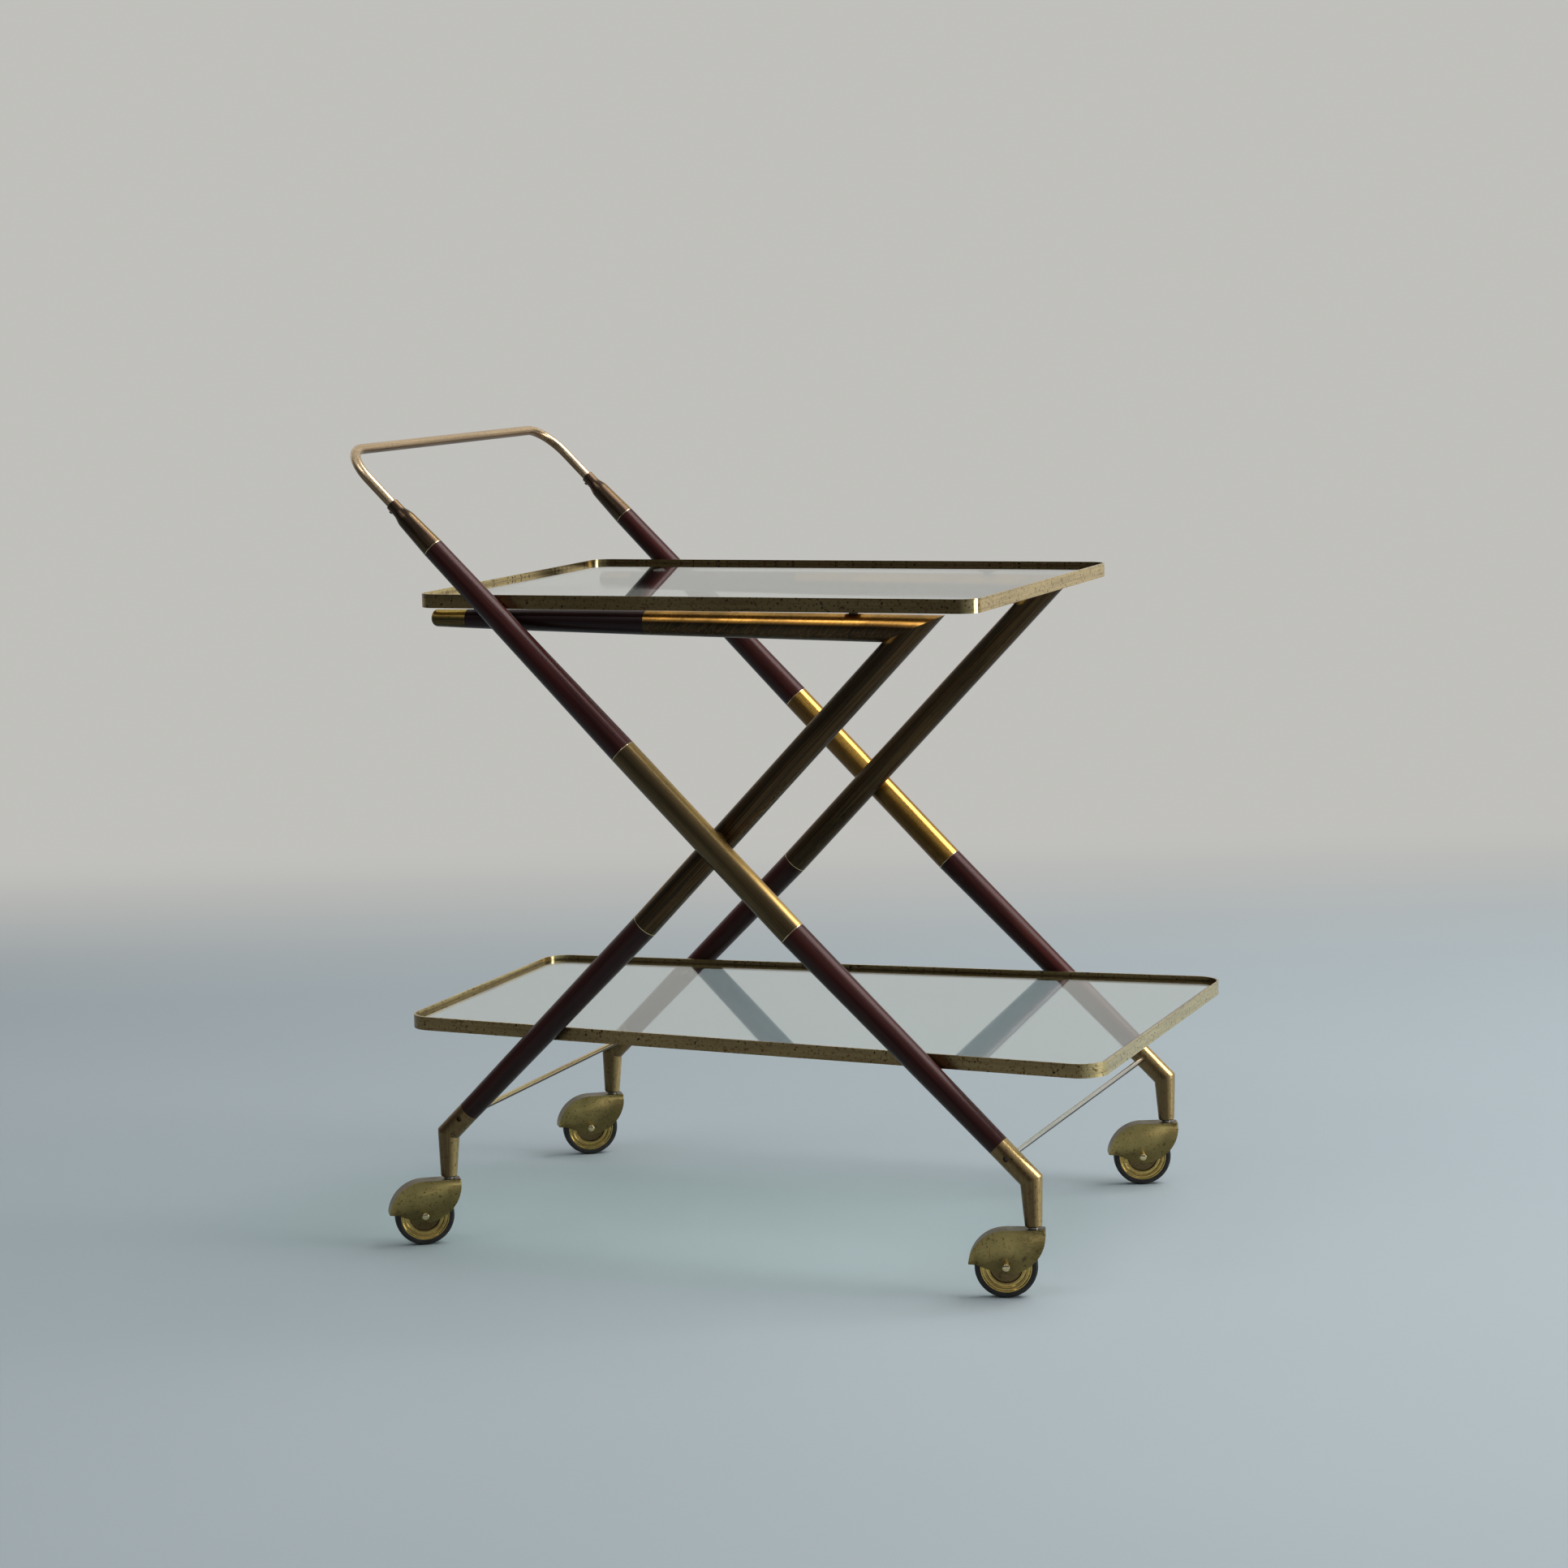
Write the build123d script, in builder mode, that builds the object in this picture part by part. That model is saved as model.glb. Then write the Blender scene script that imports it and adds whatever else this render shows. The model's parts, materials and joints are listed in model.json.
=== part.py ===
"""A folding two-tier bar cart: crossed brass and wood legs, lift-off glass trays, hooded casters.

Millimetres, +Z up, the floor at Z = 0. The legs cross on the line X = 0. The outer frame runs from
the push handle at -X down to the feet at +X, the inner frame from the mitred rails at +X down to
the feet at -X. The near side is at -Y.
"""

import os
from math import cos, hypot, radians, sin, sqrt, tan

from build123d import *

# How far a blank or a cut runs past the face that trims it
OVERRUN = 2.0

# The crossing of the legs
PIVOT_Z = 381.6
OUTER_Y = 210.0
PIVOT_GAP = 1.7
PIN_R = 4.0
PIN_BITE = 6.0
PIN_CLEARANCE = 0.05
WASHER_R = 10.0
WASHER_CLEARANCE = 0.1
BUSH_LENGTH = 26.0

# The slope of each frame's legs, and how far they kick outwards below the brass
OUTER_SLOPE = 44.96
INNER_SLOPE = 46.03
LOWER_KICK = 1.25

# Distances along a leg from the crossing to the ends of its brass stretch
OUTER_SLEEVE_UP = 113.8
OUTER_SLEEVE_DOWN = 106.3
INNER_BRASS_DOWN = 108.9

# Leg thickness: the middle, the top of the outer wood, and where the wood meets the foot
OUTER_LEG_R = 12.3
INNER_LEG_R = 12.2
OUTER_TOP_R = 9.8
LEG_FOOT_R = 9.9
TUBE_WALL = 1.6
SPIGOT_LENGTH = 28.0
SPIGOT_CLEARANCE = 0.1

# The push handle and its ferrules
HANDLE_REACH = 487.2
HANDLE_R = 4.6
HANDLE_BEND_R = 35.0
FERRULE_TOP = 421.0
FERRULE_BOTTOM = 364.9
FERRULE_NECK_R = 5.9
FERRULE_SHOULDER_R = 8.3
FERRULE_NECK_LENGTH = 9.0
FERRULE_FLARE_LENGTH = 12.0
FERRULE_LIP = 1.4
HANDLE_PLUG = 22.0
SET_SCREW_R = 1.6
SET_SCREW_HEAD = 1.0

# The feet: a mitred brass elbow with a tapered, plumb lower end
ELBOW_Z = 102.7
FOOT_END_R = 7.5
FOOT_SHIFT = 1.5
FOOT_BEVEL = 1.0
OUTER_ELBOW_SOCKET = 40.0
INNER_ELBOW_SOCKET = 31.0
OUTER_ROD_UP = 27.0
INNER_ROD_UP = 22.0
ROD_R = 2.5
ROD_CLEARANCE = 0.05
ROD_RECESS = 3.0
FOOT_SPIGOT_LENGTH = 15.0
FOOT_SPIGOT_R = 6.5

# The rails that lie under the upper tray
RAIL_TOP_Z = 582.8
RAIL_TIP_X = -274.1
RAIL_CAP_LENGTH = 34.8
RAIL_WOOD_LENGTH = 173.9
RAIL_SWELL_LENGTH = 65.3
RAIL_TIP_R = 7.7
RAIL_CAP_R = 8.4
RAIL_SWELL_R = 9.6
RAIL_BRASS_R = 10.8
CAP_ROUND = 5.0
CAP_SPIGOT_LENGTH = 14.0

# The brass tray rims and their glass
RIM_HEIGHT = 12.4
RIM_WALL = 1.8
LEDGE_WIDTH = 7.0
LEDGE_RISE = 2.6
LEDGE_T = 2.0
GLASS_T = 4.0
GLASS_CLEARANCE = 0.4
TRAY_SEAT_GAP = 0.3

# The upper tray
UPPER_LEFT = -284.6
UPPER_RIGHT = 243.2
UPPER_CORNER_R = 18.0
UPPER_SIDE_CLEARANCE = 0.45
UPPER_LIFT_OFF = 2.3
RAIL_PEG_XS = (-222.0, 128.0)
RAIL_PEG_R = 4.0
RAIL_PEG_TIP_R = 2.0
RAIL_PEG_TIP = 1.5
RAIL_PEG_DEPTH = 5.0
EAR_WIDTH = 15.0
EAR_MARGIN = 6.0

# The lower tray, a wedge that lies close inside both pairs of legs
LOWER_Z = 191.8
LOWER_LEFT = -329.65
LOWER_RIGHT = 349.3
LOWER_CORNER_R = 24.0
LOWER_SIDE_CLEARANCE = 3.0
LEG_PEG_R = 3.0
LEG_PEG_DEPTH = 6.0
LEG_PEG_REACH = 3.0
NOTCH_HALF_ANGLE = 45.0

# The casters, measured from the axle, and how far each is turned on its stem towards the near side
WHEEL_R = 27.3
TYRE_T = 4.8
TYRE_WIDTH = 11.0
TYRE_BEVEL = 1.6
AXLE_TRAIL = 23.8
AXLE_R = 2.4
AXLE_HEAD_R = 3.2
AXLE_HEAD_T = 1.2
AXLE_DOME_R = 1.9
AXLE_CLEARANCE = 0.05
HUB_R = 5.5
HUB_SIDE_CLEARANCE = 0.4
DISC_LIP = 1.1
DISC_STEP = 0.8
DISC_RING_OUT = 18.3
DISC_RING_IN = 14.7
DISC_CENTRE_DEEP = 3.1
CROWN_GAP = 5.4
HOOD_WIDTH = 16.0
HOOD_WALL = 1.2
HOOD_EDGE = 1.2
HOOD_LEAD = 10.2
HOOD_BROW = 5.0
HOOD_CHIN = (9.6, -4.3)
HOOD_BELLY = (-0.3, -5.8)
HOOD_JAW = (-13.3, -2.3)
HOOD_HEEL = (-25.2, 2.7)
HOOD_TIP_RISE = 3.2
STEM_R = 3.0
STEM_COLLAR_R = 4.6
STEM_DEPTH = 26.0
STEM_HEAD_R = 4.6
STEM_HEAD_T = 1.5
FOOT_GAP = 2.0
CASTER_TURNS = {
    ("outer", "near"): 16.0,
    ("outer", "far"): 23.0,
    ("inner", "near"): 34.0,
    ("inner", "far"): 34.0,
}

# The hood's crown is a circle round the axle, and the foot stands above it
CROWN_R = WHEEL_R + CROWN_GAP
HOOD_TOP_Z = WHEEL_R + CROWN_R
FOOT_Z = HOOD_TOP_Z + FOOT_GAP

SIDES = {"near": -1, "far": 1}
AXIS_Y = (0, 1, 0)


class LegLine:
    """The centre line of a frame's legs in the side view, by distance from the crossing, down positive."""

    def __init__(self, way, slope, bend_at, mid_r):
        self.way = way
        self.mid_r = mid_r
        self.bend_at = bend_at
        self.upper = (way * cos(radians(slope)), -sin(radians(slope)))
        lower_slope = radians(slope - LOWER_KICK)
        self.lower = (way * cos(lower_slope), -sin(lower_slope))
        self.bend = (bend_at * self.upper[0], PIVOT_Z + bend_at * self.upper[1])
        self.corner_at = bend_at + (self.bend[1] - ELBOW_Z) / -self.lower[1]

    def point(self, s):
        """X and Z at this distance down the leg."""
        if s <= self.bend_at:
            return (s * self.upper[0], PIVOT_Z + s * self.upper[1])
        past = s - self.bend_at
        return (self.bend[0] + past * self.lower[0], self.bend[1] + past * self.lower[1])

    def at_height(self, z):
        """The distance down the leg at which its centre line is at this height."""
        if z >= self.bend[1]:
            return (PIVOT_Z - z) / -self.upper[1]
        return self.bend_at + (self.bend[1] - z) / -self.lower[1]

    def plane(self, s, y):
        """A sketch plane through the leg: its Y runs down the leg, its X is the radius."""
        x, z = self.point(s)
        return turning_plane(x, y, z, self.upper if s < self.bend_at else self.lower)


OUTER = LegLine(1, OUTER_SLOPE, OUTER_SLEEVE_DOWN, OUTER_LEG_R)
INNER = LegLine(-1, INNER_SLOPE, INNER_BRASS_DOWN, INNER_LEG_R)
INNER_Y = OUTER_Y - OUTER_LEG_R - PIVOT_GAP - INNER_LEG_R
OUTER_SOCKET_AT = OUTER.corner_at - OUTER_ELBOW_SOCKET
INNER_SOCKET_AT = INNER.corner_at - INNER_ELBOW_SOCKET


def outer_r(s):
    """The outer leg's radius at a distance from the crossing."""
    if s < -OUTER_SLEEVE_UP:
        share = (-s - OUTER_SLEEVE_UP) / (FERRULE_BOTTOM - OUTER_SLEEVE_UP)
        return OUTER_LEG_R + share * (OUTER_TOP_R - OUTER_LEG_R)
    share = max(0, s - OUTER_SLEEVE_DOWN) / (OUTER_SOCKET_AT - OUTER_SLEEVE_DOWN)
    return OUTER_LEG_R + share * (LEG_FOOT_R - OUTER_LEG_R)


def inner_r(s):
    """The inner leg's radius at a distance from the crossing."""
    share = max(0, s - INNER_BRASS_DOWN) / (INNER_SOCKET_AT - INNER_BRASS_DOWN)
    return INNER_LEG_R + share * (LEG_FOOT_R - INNER_LEG_R)


# The lower tray's sides run past the legs at its own height
PEG_Z = LOWER_Z - (LEG_PEG_R + TRAY_SEAT_GAP) * cos(radians(NOTCH_HALF_ANGLE))
OUTER_PEG_AT = OUTER.at_height(PEG_Z)
INNER_PEG_AT = INNER.at_height(PEG_Z)
OUTER_PEG_X = OUTER.point(OUTER_PEG_AT)[0]
INNER_PEG_X = INNER.point(INNER_PEG_AT)[0]
OUTER_SHELF_Y = OUTER_Y - outer_r(OUTER_PEG_AT) - LOWER_SIDE_CLEARANCE
INNER_SHELF_Y = INNER_Y - inner_r(INNER_PEG_AT) - LOWER_SIDE_CLEARANCE
LOWER_SPLAY = (OUTER_SHELF_Y - INNER_SHELF_Y) / (OUTER_PEG_X - INNER_PEG_X)


def lower_half_width(x):
    """Half the width of the lower tray at this X."""
    return OUTER_SHELF_Y + (x - OUTER_PEG_X) * LOWER_SPLAY


# The upper tray has to pass between the outer legs wherever they stand in the fold
UPPER_Z = RAIL_TOP_Z + UPPER_LIFT_OFF
UPPER_HALF_WIDTH = OUTER_Y - outer_r(PIVOT_Z - UPPER_Z) - UPPER_SIDE_CLEARANCE

# The mitre stands where the rail's and the leg's centre lines meet
MITRE_Z = RAIL_TOP_Z - INNER_LEG_R
MITRE_AT = INNER.at_height(MITRE_Z)
MITRE_X = INNER.point(MITRE_AT)[0]

# The rail is turned about a line that drops a little from its tip to the mitre
RAIL_RUN = MITRE_X - RAIL_TIP_X
RAIL_DROP = RAIL_TOP_Z - RAIL_TIP_R - MITRE_Z
RAIL_LENGTH = hypot(RAIL_RUN, RAIL_DROP)
RAIL_WAY = (RAIL_RUN / RAIL_LENGTH, -RAIL_DROP / RAIL_LENGTH)
RAIL_BRASS_AT = RAIL_CAP_LENGTH + RAIL_WOOD_LENGTH

# The mitre's inner corner reaches this far back along the rail, where the tube has to be at its full radius
MITRE_REACH = INNER_LEG_R / tan(radians(INNER_SLOPE / 2)) + OVERRUN


def turning_plane(x, y, z, way):
    """A sketch plane whose Y runs along a direction in the side view and whose X is the radius."""
    return Plane(origin=(x, y, z), x_dir=AXIS_Y, z_dir=(way[1], 0, -way[0]))


def mitre_plane(x, y, z, before, after):
    """The plane in which a bar coming along one direction turns into another, facing onwards."""
    return Plane(origin=(x, y, z), x_dir=AXIS_Y, z_dir=(before[0] + after[0], 0, before[1] + after[1]))


def rail_plane(at, y):
    """A rail's turning plane at this distance from its tip."""
    x = RAIL_TIP_X + at * RAIL_WAY[0]
    z = MITRE_Z + (at - RAIL_LENGTH) * RAIL_WAY[1]
    return turning_plane(x, y, z, RAIL_WAY)


def turned(plane, outline):
    """A solid turned about the plane's own Y axis from (radius, distance) points."""
    with BuildPart() as piece:
        with BuildSketch(plane):
            with BuildLine():
                Polyline(*outline, close=True)
            make_face()
        revolve(axis=Axis(plane.origin, plane.y_dir))
    return piece


def socket(start, end, r):
    """The outline of a plain round socket or plug between two distances."""
    return ((0, start), (r, start), (r, end), (0, end))


def rod_along_y(x, z, y_from, y_to, r):
    """A plain round bar that lies across the cart."""
    with BuildPart() as bar:
        with BuildSketch(Plane(origin=(x, y_from, z), x_dir=(1, 0, 0), z_dir=AXIS_Y)):
            Circle(r)
        extrude(amount=y_to - y_from)
    return bar


def bored(blank, *tools):
    """The blank with each tool's shape cut out of it."""
    with BuildPart() as piece:
        add(blank.part)
        for tool in tools:
            add(tool.part, mode=Mode.SUBTRACT)
    return piece


def save(piece, name):
    """Labels a finished piece and writes it under its own name."""
    piece.part.label = name
    export_step(piece.part, f"parts/{name}.step")


def handle():
    """One length of round brass bar, bent twice, whose ends plug into the two ferrules."""
    end_x, end_z = OUTER.point(-FERRULE_TOP + HANDLE_PLUG)
    corner_x, corner_z = OUTER.point(-HANDLE_REACH)
    ends = ((end_x, -OUTER_Y, end_z), (end_x, OUTER_Y, end_z))
    corners = ((corner_x, -OUTER_Y, corner_z), (corner_x, OUTER_Y, corner_z))
    ux, uz = OUTER.upper
    with BuildPart() as bar:
        with BuildLine() as path:
            FilletPolyline(ends[0], corners[0], corners[1], ends[1], radius=HANDLE_BEND_R)
        with BuildSketch(Plane(origin=ends[0], x_dir=AXIS_Y, z_dir=(-ux, 0, -uz))):
            Circle(HANDLE_R)
        sweep(path=path.wire())
    return bar


def ferrule(side):
    """The bottle-shaped brass socket between the handle bar and the wooden leg."""
    y = side * OUTER_Y
    length = FERRULE_TOP - FERRULE_BOTTOM
    neck, swell = FERRULE_NECK_R, FERRULE_SHOULDER_R - FERRULE_NECK_R
    flare = tuple(
        (neck + swell * sin(radians(90 * share)) ** 2, FERRULE_NECK_LENGTH + share * FERRULE_FLARE_LENGTH)
        for share in (0, 0.25, 0.5, 0.75, 1)
    )
    plane = OUTER.plane(-FERRULE_TOP, y)
    lip = (OUTER_TOP_R, length - FERRULE_LIP)
    body = turned(plane, ((0, 0), (neck, 0), *flare, lip, (OUTER_TOP_R, length), (0, length)))
    bore_r = HANDLE_R + SPIGOT_CLEARANCE
    spigot_r = OUTER_TOP_R - TUBE_WALL
    tube_bore = turned(plane, socket(-OVERRUN, HANDLE_PLUG, bore_r))
    leg_bore = turned(plane, socket(length - SPIGOT_LENGTH, length + OVERRUN, spigot_r))
    return bored(body, tube_bore, leg_bore, set_screw_hole(side))


def set_screw_axis(side):
    """The plane across a ferrule's neck that faces out of its underside."""
    return OUTER.plane(-FERRULE_TOP + FERRULE_NECK_LENGTH / 2, side * OUTER_Y)


def set_screw_hole(side):
    """The hole through the underside of a ferrule's neck."""
    with BuildPart() as hole:
        with BuildSketch(set_screw_axis(side)):
            Circle(SET_SCREW_R)
        extrude(amount=FERRULE_NECK_R + OVERRUN)
    return hole


def set_screws():
    """A small screw under each ferrule's neck that grips the handle bar."""
    with BuildPart() as screws:
        for side in SIDES.values():
            with BuildSketch(set_screw_axis(side).offset(HANDLE_R + SPIGOT_CLEARANCE)):
                Circle(SET_SCREW_R)
            extrude(amount=FERRULE_NECK_R + SET_SCREW_HEAD - HANDLE_R - SPIGOT_CLEARANCE)
    return screws


def upper_wood(side):
    """The tapered wooden top of an outer leg, with a turned spigot at each end."""
    length = FERRULE_BOTTOM - OUTER_SLEEVE_UP
    top_r = OUTER_TOP_R - TUBE_WALL - SPIGOT_CLEARANCE
    low_r = OUTER_LEG_R - TUBE_WALL - SPIGOT_CLEARANCE
    outline = (
        (0, -SPIGOT_LENGTH),
        (top_r, -SPIGOT_LENGTH),
        (top_r, 0),
        (OUTER_TOP_R, 0),
        (OUTER_LEG_R, length),
        (low_r, length),
        (low_r, length + SPIGOT_LENGTH),
        (0, length + SPIGOT_LENGTH),
    )
    return turned(OUTER.plane(-FERRULE_BOTTOM, side * OUTER_Y), outline)


def pivot_pin_hole(side, clearance):
    """The cut for the pivot pin, from inside the outer sleeve to inside the inner tube."""
    y_in = side * (INNER_Y - PIN_BITE - OVERRUN)
    y_out = side * (OUTER_Y + PIN_BITE)
    return rod_along_y(0, PIVOT_Z, min(y_in, y_out), max(y_in, y_out), PIN_R + clearance)


def pivot_pin(side):
    """The plain steel pin that a pair of crossed legs turns on."""
    y_in = side * (INNER_Y - PIN_BITE)
    y_out = side * (OUTER_Y + PIN_BITE)
    return rod_along_y(0, PIVOT_Z, min(y_in, y_out), max(y_in, y_out), PIN_R)


def pivot_washer(side):
    """The thin brass washer that keeps the crossed legs from rubbing."""
    y_in = side * (INNER_Y + INNER_LEG_R + WASHER_CLEARANCE)
    y_out = side * (OUTER_Y - OUTER_LEG_R - WASHER_CLEARANCE)
    disc = rod_along_y(0, PIVOT_Z, min(y_in, y_out), max(y_in, y_out), WASHER_R)
    return bored(disc, pivot_pin_hole(side, PIN_CLEARANCE))


def sleeve(side):
    """The long brass tube in the middle of an outer leg, which the pivot pin enters from inside."""
    y = side * OUTER_Y
    length = OUTER_SLEEVE_UP + OUTER_SLEEVE_DOWN
    bore_r = OUTER_LEG_R - TUBE_WALL
    end = length + OVERRUN
    outline = ((bore_r, 0), (OUTER_LEG_R, 0), (OUTER_LEG_R, end), (bore_r, end))
    with BuildPart() as tube:
        add(turned(OUTER.plane(-OUTER_SLEEVE_UP, y), outline).part)
        split(bisect_by=end_plane(OUTER, OUTER_SLEEVE_DOWN, y), keep=Keep.BOTTOM)
    return bored(tube, pivot_pin_hole(side, PIN_CLEARANCE))


def end_plane(leg, s, y):
    """The plane square to the lower leg at this distance, facing down the leg."""
    x, z = leg.point(s)
    return Plane(origin=(x, y, z), x_dir=AXIS_Y, z_dir=(leg.lower[0], 0, leg.lower[1]))


def pivot_bush(leg, leg_y, side):
    """The plug inside a leg's brass tube that the pivot pin seats in."""
    r = leg.mid_r - TUBE_WALL - SPIGOT_CLEARANCE
    plug = turned(leg.plane(0, side * leg_y), socket(-BUSH_LENGTH / 2, BUSH_LENGTH / 2, r))
    return bored(plug, pivot_pin_hole(side, PIN_CLEARANCE))


def lower_wood(leg, leg_y, side, socket_at, peg_at, rod_up):
    """The tapered wooden lower leg, with a spigot at each end and a hole for its tray peg."""
    y = side * leg_y
    length = socket_at - leg.bend_at
    top_r = leg.mid_r - TUBE_WALL - SPIGOT_CLEARANCE
    outline = (
        (0, 0),
        (leg.mid_r, 0),
        (LEG_FOOT_R, length),
        (FOOT_SPIGOT_R, length),
        (FOOT_SPIGOT_R, length + FOOT_SPIGOT_LENGTH),
        (0, length + FOOT_SPIGOT_LENGTH),
    )
    top_spigot = socket(0, SPIGOT_LENGTH + OVERRUN, top_r)
    with BuildPart() as wood:
        add(turned(leg.plane(leg.bend_at, y), outline).part)
        add(turned(leg.plane(leg.bend_at - SPIGOT_LENGTH, y), top_spigot).part)
    return bored(wood, peg_bar(leg, leg_y, side, peg_at), cross_rod_hole(leg, leg_y, rod_up))


def peg_bar(leg, leg_y, side, peg_at):
    """A leg's tray peg: it sits in the leg and reaches inwards under the lower tray's rim."""
    x, z = leg.point(peg_at)
    shelf_y = lower_half_width(x)
    inner_end = side * (shelf_y - RIM_WALL - LEDGE_WIDTH - LEG_PEG_REACH)
    outer_end = side * (leg_y + LEG_PEG_DEPTH - LEG_PEG_R)
    return rod_along_y(x, z, min(inner_end, outer_end), max(inner_end, outer_end), LEG_PEG_R)


def cross_rod_hole(leg, leg_y, rod_up):
    """The cut for the crossbar through both of a frame's elbows."""
    x, z = leg.point(leg.corner_at - rod_up)
    reach = leg_y + 2 * LEG_FOOT_R
    return rod_along_y(x, z, -reach, reach, ROD_R + ROD_CLEARANCE)


def crossbar(leg, leg_y, rod_up):
    """The thin brass rod that ties a frame's two feet together."""
    x, z = leg.point(leg.corner_at - rod_up)
    reach = leg_y + LEG_FOOT_R - ROD_RECESS
    return rod_along_y(x, z, -reach, reach, ROD_R)


def foot_x(leg):
    """The X of the caster stem under a frame's feet."""
    return leg.point(leg.corner_at)[0] + leg.way * FOOT_SHIFT


def elbow_foot(leg, leg_y, side, socket_length, rod_up):
    """The mitred brass elbow: a socket along the leg and a nearly plumb end that tapers to the caster."""
    y = side * leg_y
    corner_x, corner_z = leg.point(leg.corner_at)
    start = leg.corner_at - socket_length
    spare = 3 * LEG_FOOT_R
    drop = ELBOW_Z - FOOT_Z
    length = hypot(FOOT_SHIFT, drop)
    down = (leg.way * FOOT_SHIFT / length, -drop / length)
    mitre = mitre_plane(corner_x, y, corner_z, leg.lower, down)
    taper = (
        (0, -spare),
        (LEG_FOOT_R, -spare),
        (LEG_FOOT_R, 0),
        (FOOT_END_R, length - FOOT_BEVEL),
        (FOOT_END_R - FOOT_BEVEL, length),
        (0, length),
    )
    with BuildPart() as slope:
        add(turned(leg.plane(start, y), socket(0, socket_length + spare, LEG_FOOT_R)).part)
        split(bisect_by=mitre, keep=Keep.BOTTOM)
    with BuildPart() as plumb:
        add(turned(turning_plane(corner_x, y, corner_z, down), taper).part)
        split(bisect_by=mitre, keep=Keep.TOP)
    with BuildPart() as elbow:
        add(slope.part)
        add(plumb.part)
    spigot_r = FOOT_SPIGOT_R + SPIGOT_CLEARANCE
    deep = FOOT_SPIGOT_LENGTH + SPIGOT_CLEARANCE
    spigot_bore = turned(leg.plane(start, y), socket(-OVERRUN, deep, spigot_r))
    with BuildPart() as stem_bore:
        with BuildSketch(Plane(origin=(foot_x(leg), y, FOOT_Z - OVERRUN))):
            Circle(STEM_R + AXLE_CLEARANCE)
        extrude(amount=STEM_DEPTH + OVERRUN)
    return bored(elbow, spigot_bore, stem_bore, cross_rod_hole(leg, leg_y, rod_up))


def rail_bend_solid(side, shrink):
    """The mitred inner leg and rail as one solid, taken in by a wall where shrink says so."""
    y = side * INNER_Y
    leg_r = INNER_LEG_R - shrink
    spare = 3 * INNER_LEG_R
    start = RAIL_BRASS_AT
    full_at = RAIL_LENGTH - MITRE_REACH
    past = RAIL_LENGTH + spare
    taper = ((0, start), (RAIL_BRASS_R - shrink, start), (leg_r, full_at), (leg_r, past), (0, past))
    mitre = mitre_plane(MITRE_X, y, MITRE_Z, RAIL_WAY, INNER.upper)
    with BuildPart() as leg:
        add(turned(INNER.plane(0, y), socket(MITRE_AT - spare, INNER_BRASS_DOWN + OVERRUN, leg_r)).part)
        split(bisect_by=mitre, keep=Keep.TOP)
        split(bisect_by=end_plane(INNER, INNER_BRASS_DOWN, y), keep=Keep.BOTTOM)
    with BuildPart() as rail:
        add(turned(rail_plane(0, y), taper).part)
        split(bisect_by=mitre, keep=Keep.BOTTOM)
    with BuildPart() as bend:
        add(leg.part)
        add(rail.part)
    return bend


def rail_bend(side):
    """The brass tube that is both the upper inner leg and the right half of the rail."""
    return bored(
        rail_bend_solid(side, 0),
        rail_bend_solid(side, TUBE_WALL),
        pivot_pin_hole(side, PIN_CLEARANCE),
        rail_peg(side, RAIL_PEG_XS[1]),
    )


def rail_wood(side):
    """The wooden middle of a rail, which swells towards the brass and has a spigot at each end."""
    cap_spigot_r = RAIL_CAP_R - TUBE_WALL - SPIGOT_CLEARANCE
    brass_spigot_r = RAIL_BRASS_R - TUBE_WALL - SPIGOT_CLEARANCE
    outline = (
        (0, -CAP_SPIGOT_LENGTH),
        (cap_spigot_r, -CAP_SPIGOT_LENGTH),
        (cap_spigot_r, 0),
        (RAIL_CAP_R, 0),
        (RAIL_SWELL_R, RAIL_SWELL_LENGTH),
        (RAIL_BRASS_R, RAIL_WOOD_LENGTH),
        (brass_spigot_r, RAIL_WOOD_LENGTH),
        (brass_spigot_r, RAIL_WOOD_LENGTH + SPIGOT_LENGTH),
        (0, RAIL_WOOD_LENGTH + SPIGOT_LENGTH),
    )
    blank = turned(rail_plane(RAIL_CAP_LENGTH, side * INNER_Y), outline)
    return bored(blank, rail_peg(side, RAIL_PEG_XS[0]))


def rail_cap(side):
    """The rounded brass cap on the free end of a rail."""
    plane = rail_plane(0, side * INNER_Y)
    rounding = tuple(
        (RAIL_TIP_R - CAP_ROUND * (1 - sin(radians(turn))), CAP_ROUND * (1 - cos(radians(turn))))
        for turn in (0, 30, 60, 90)
    )
    cap = turned(plane, ((0, 0), *rounding, (RAIL_CAP_R, RAIL_CAP_LENGTH), (0, RAIL_CAP_LENGTH)))
    bottom = RAIL_CAP_LENGTH - CAP_SPIGOT_LENGTH
    return bored(cap, turned(plane, socket(bottom, RAIL_CAP_LENGTH + OVERRUN, RAIL_CAP_R - TUBE_WALL)))


def rail_peg(side, x):
    """A shouldered peg let into the top of a rail, whose tip enters an ear of the upper tray."""
    shoulder_z = UPPER_Z - TRAY_SEAT_GAP
    foot_z = RAIL_TOP_Z - RAIL_PEG_DEPTH
    with BuildPart() as peg:
        with BuildSketch(Plane(origin=(x, side * INNER_Y, foot_z))):
            Circle(RAIL_PEG_R)
        extrude(amount=shoulder_z - foot_z)
        with BuildSketch(Plane(origin=(x, side * INNER_Y, shoulder_z))):
            Circle(RAIL_PEG_TIP_R)
        extrude(amount=RAIL_PEG_TIP)
    return peg


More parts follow.
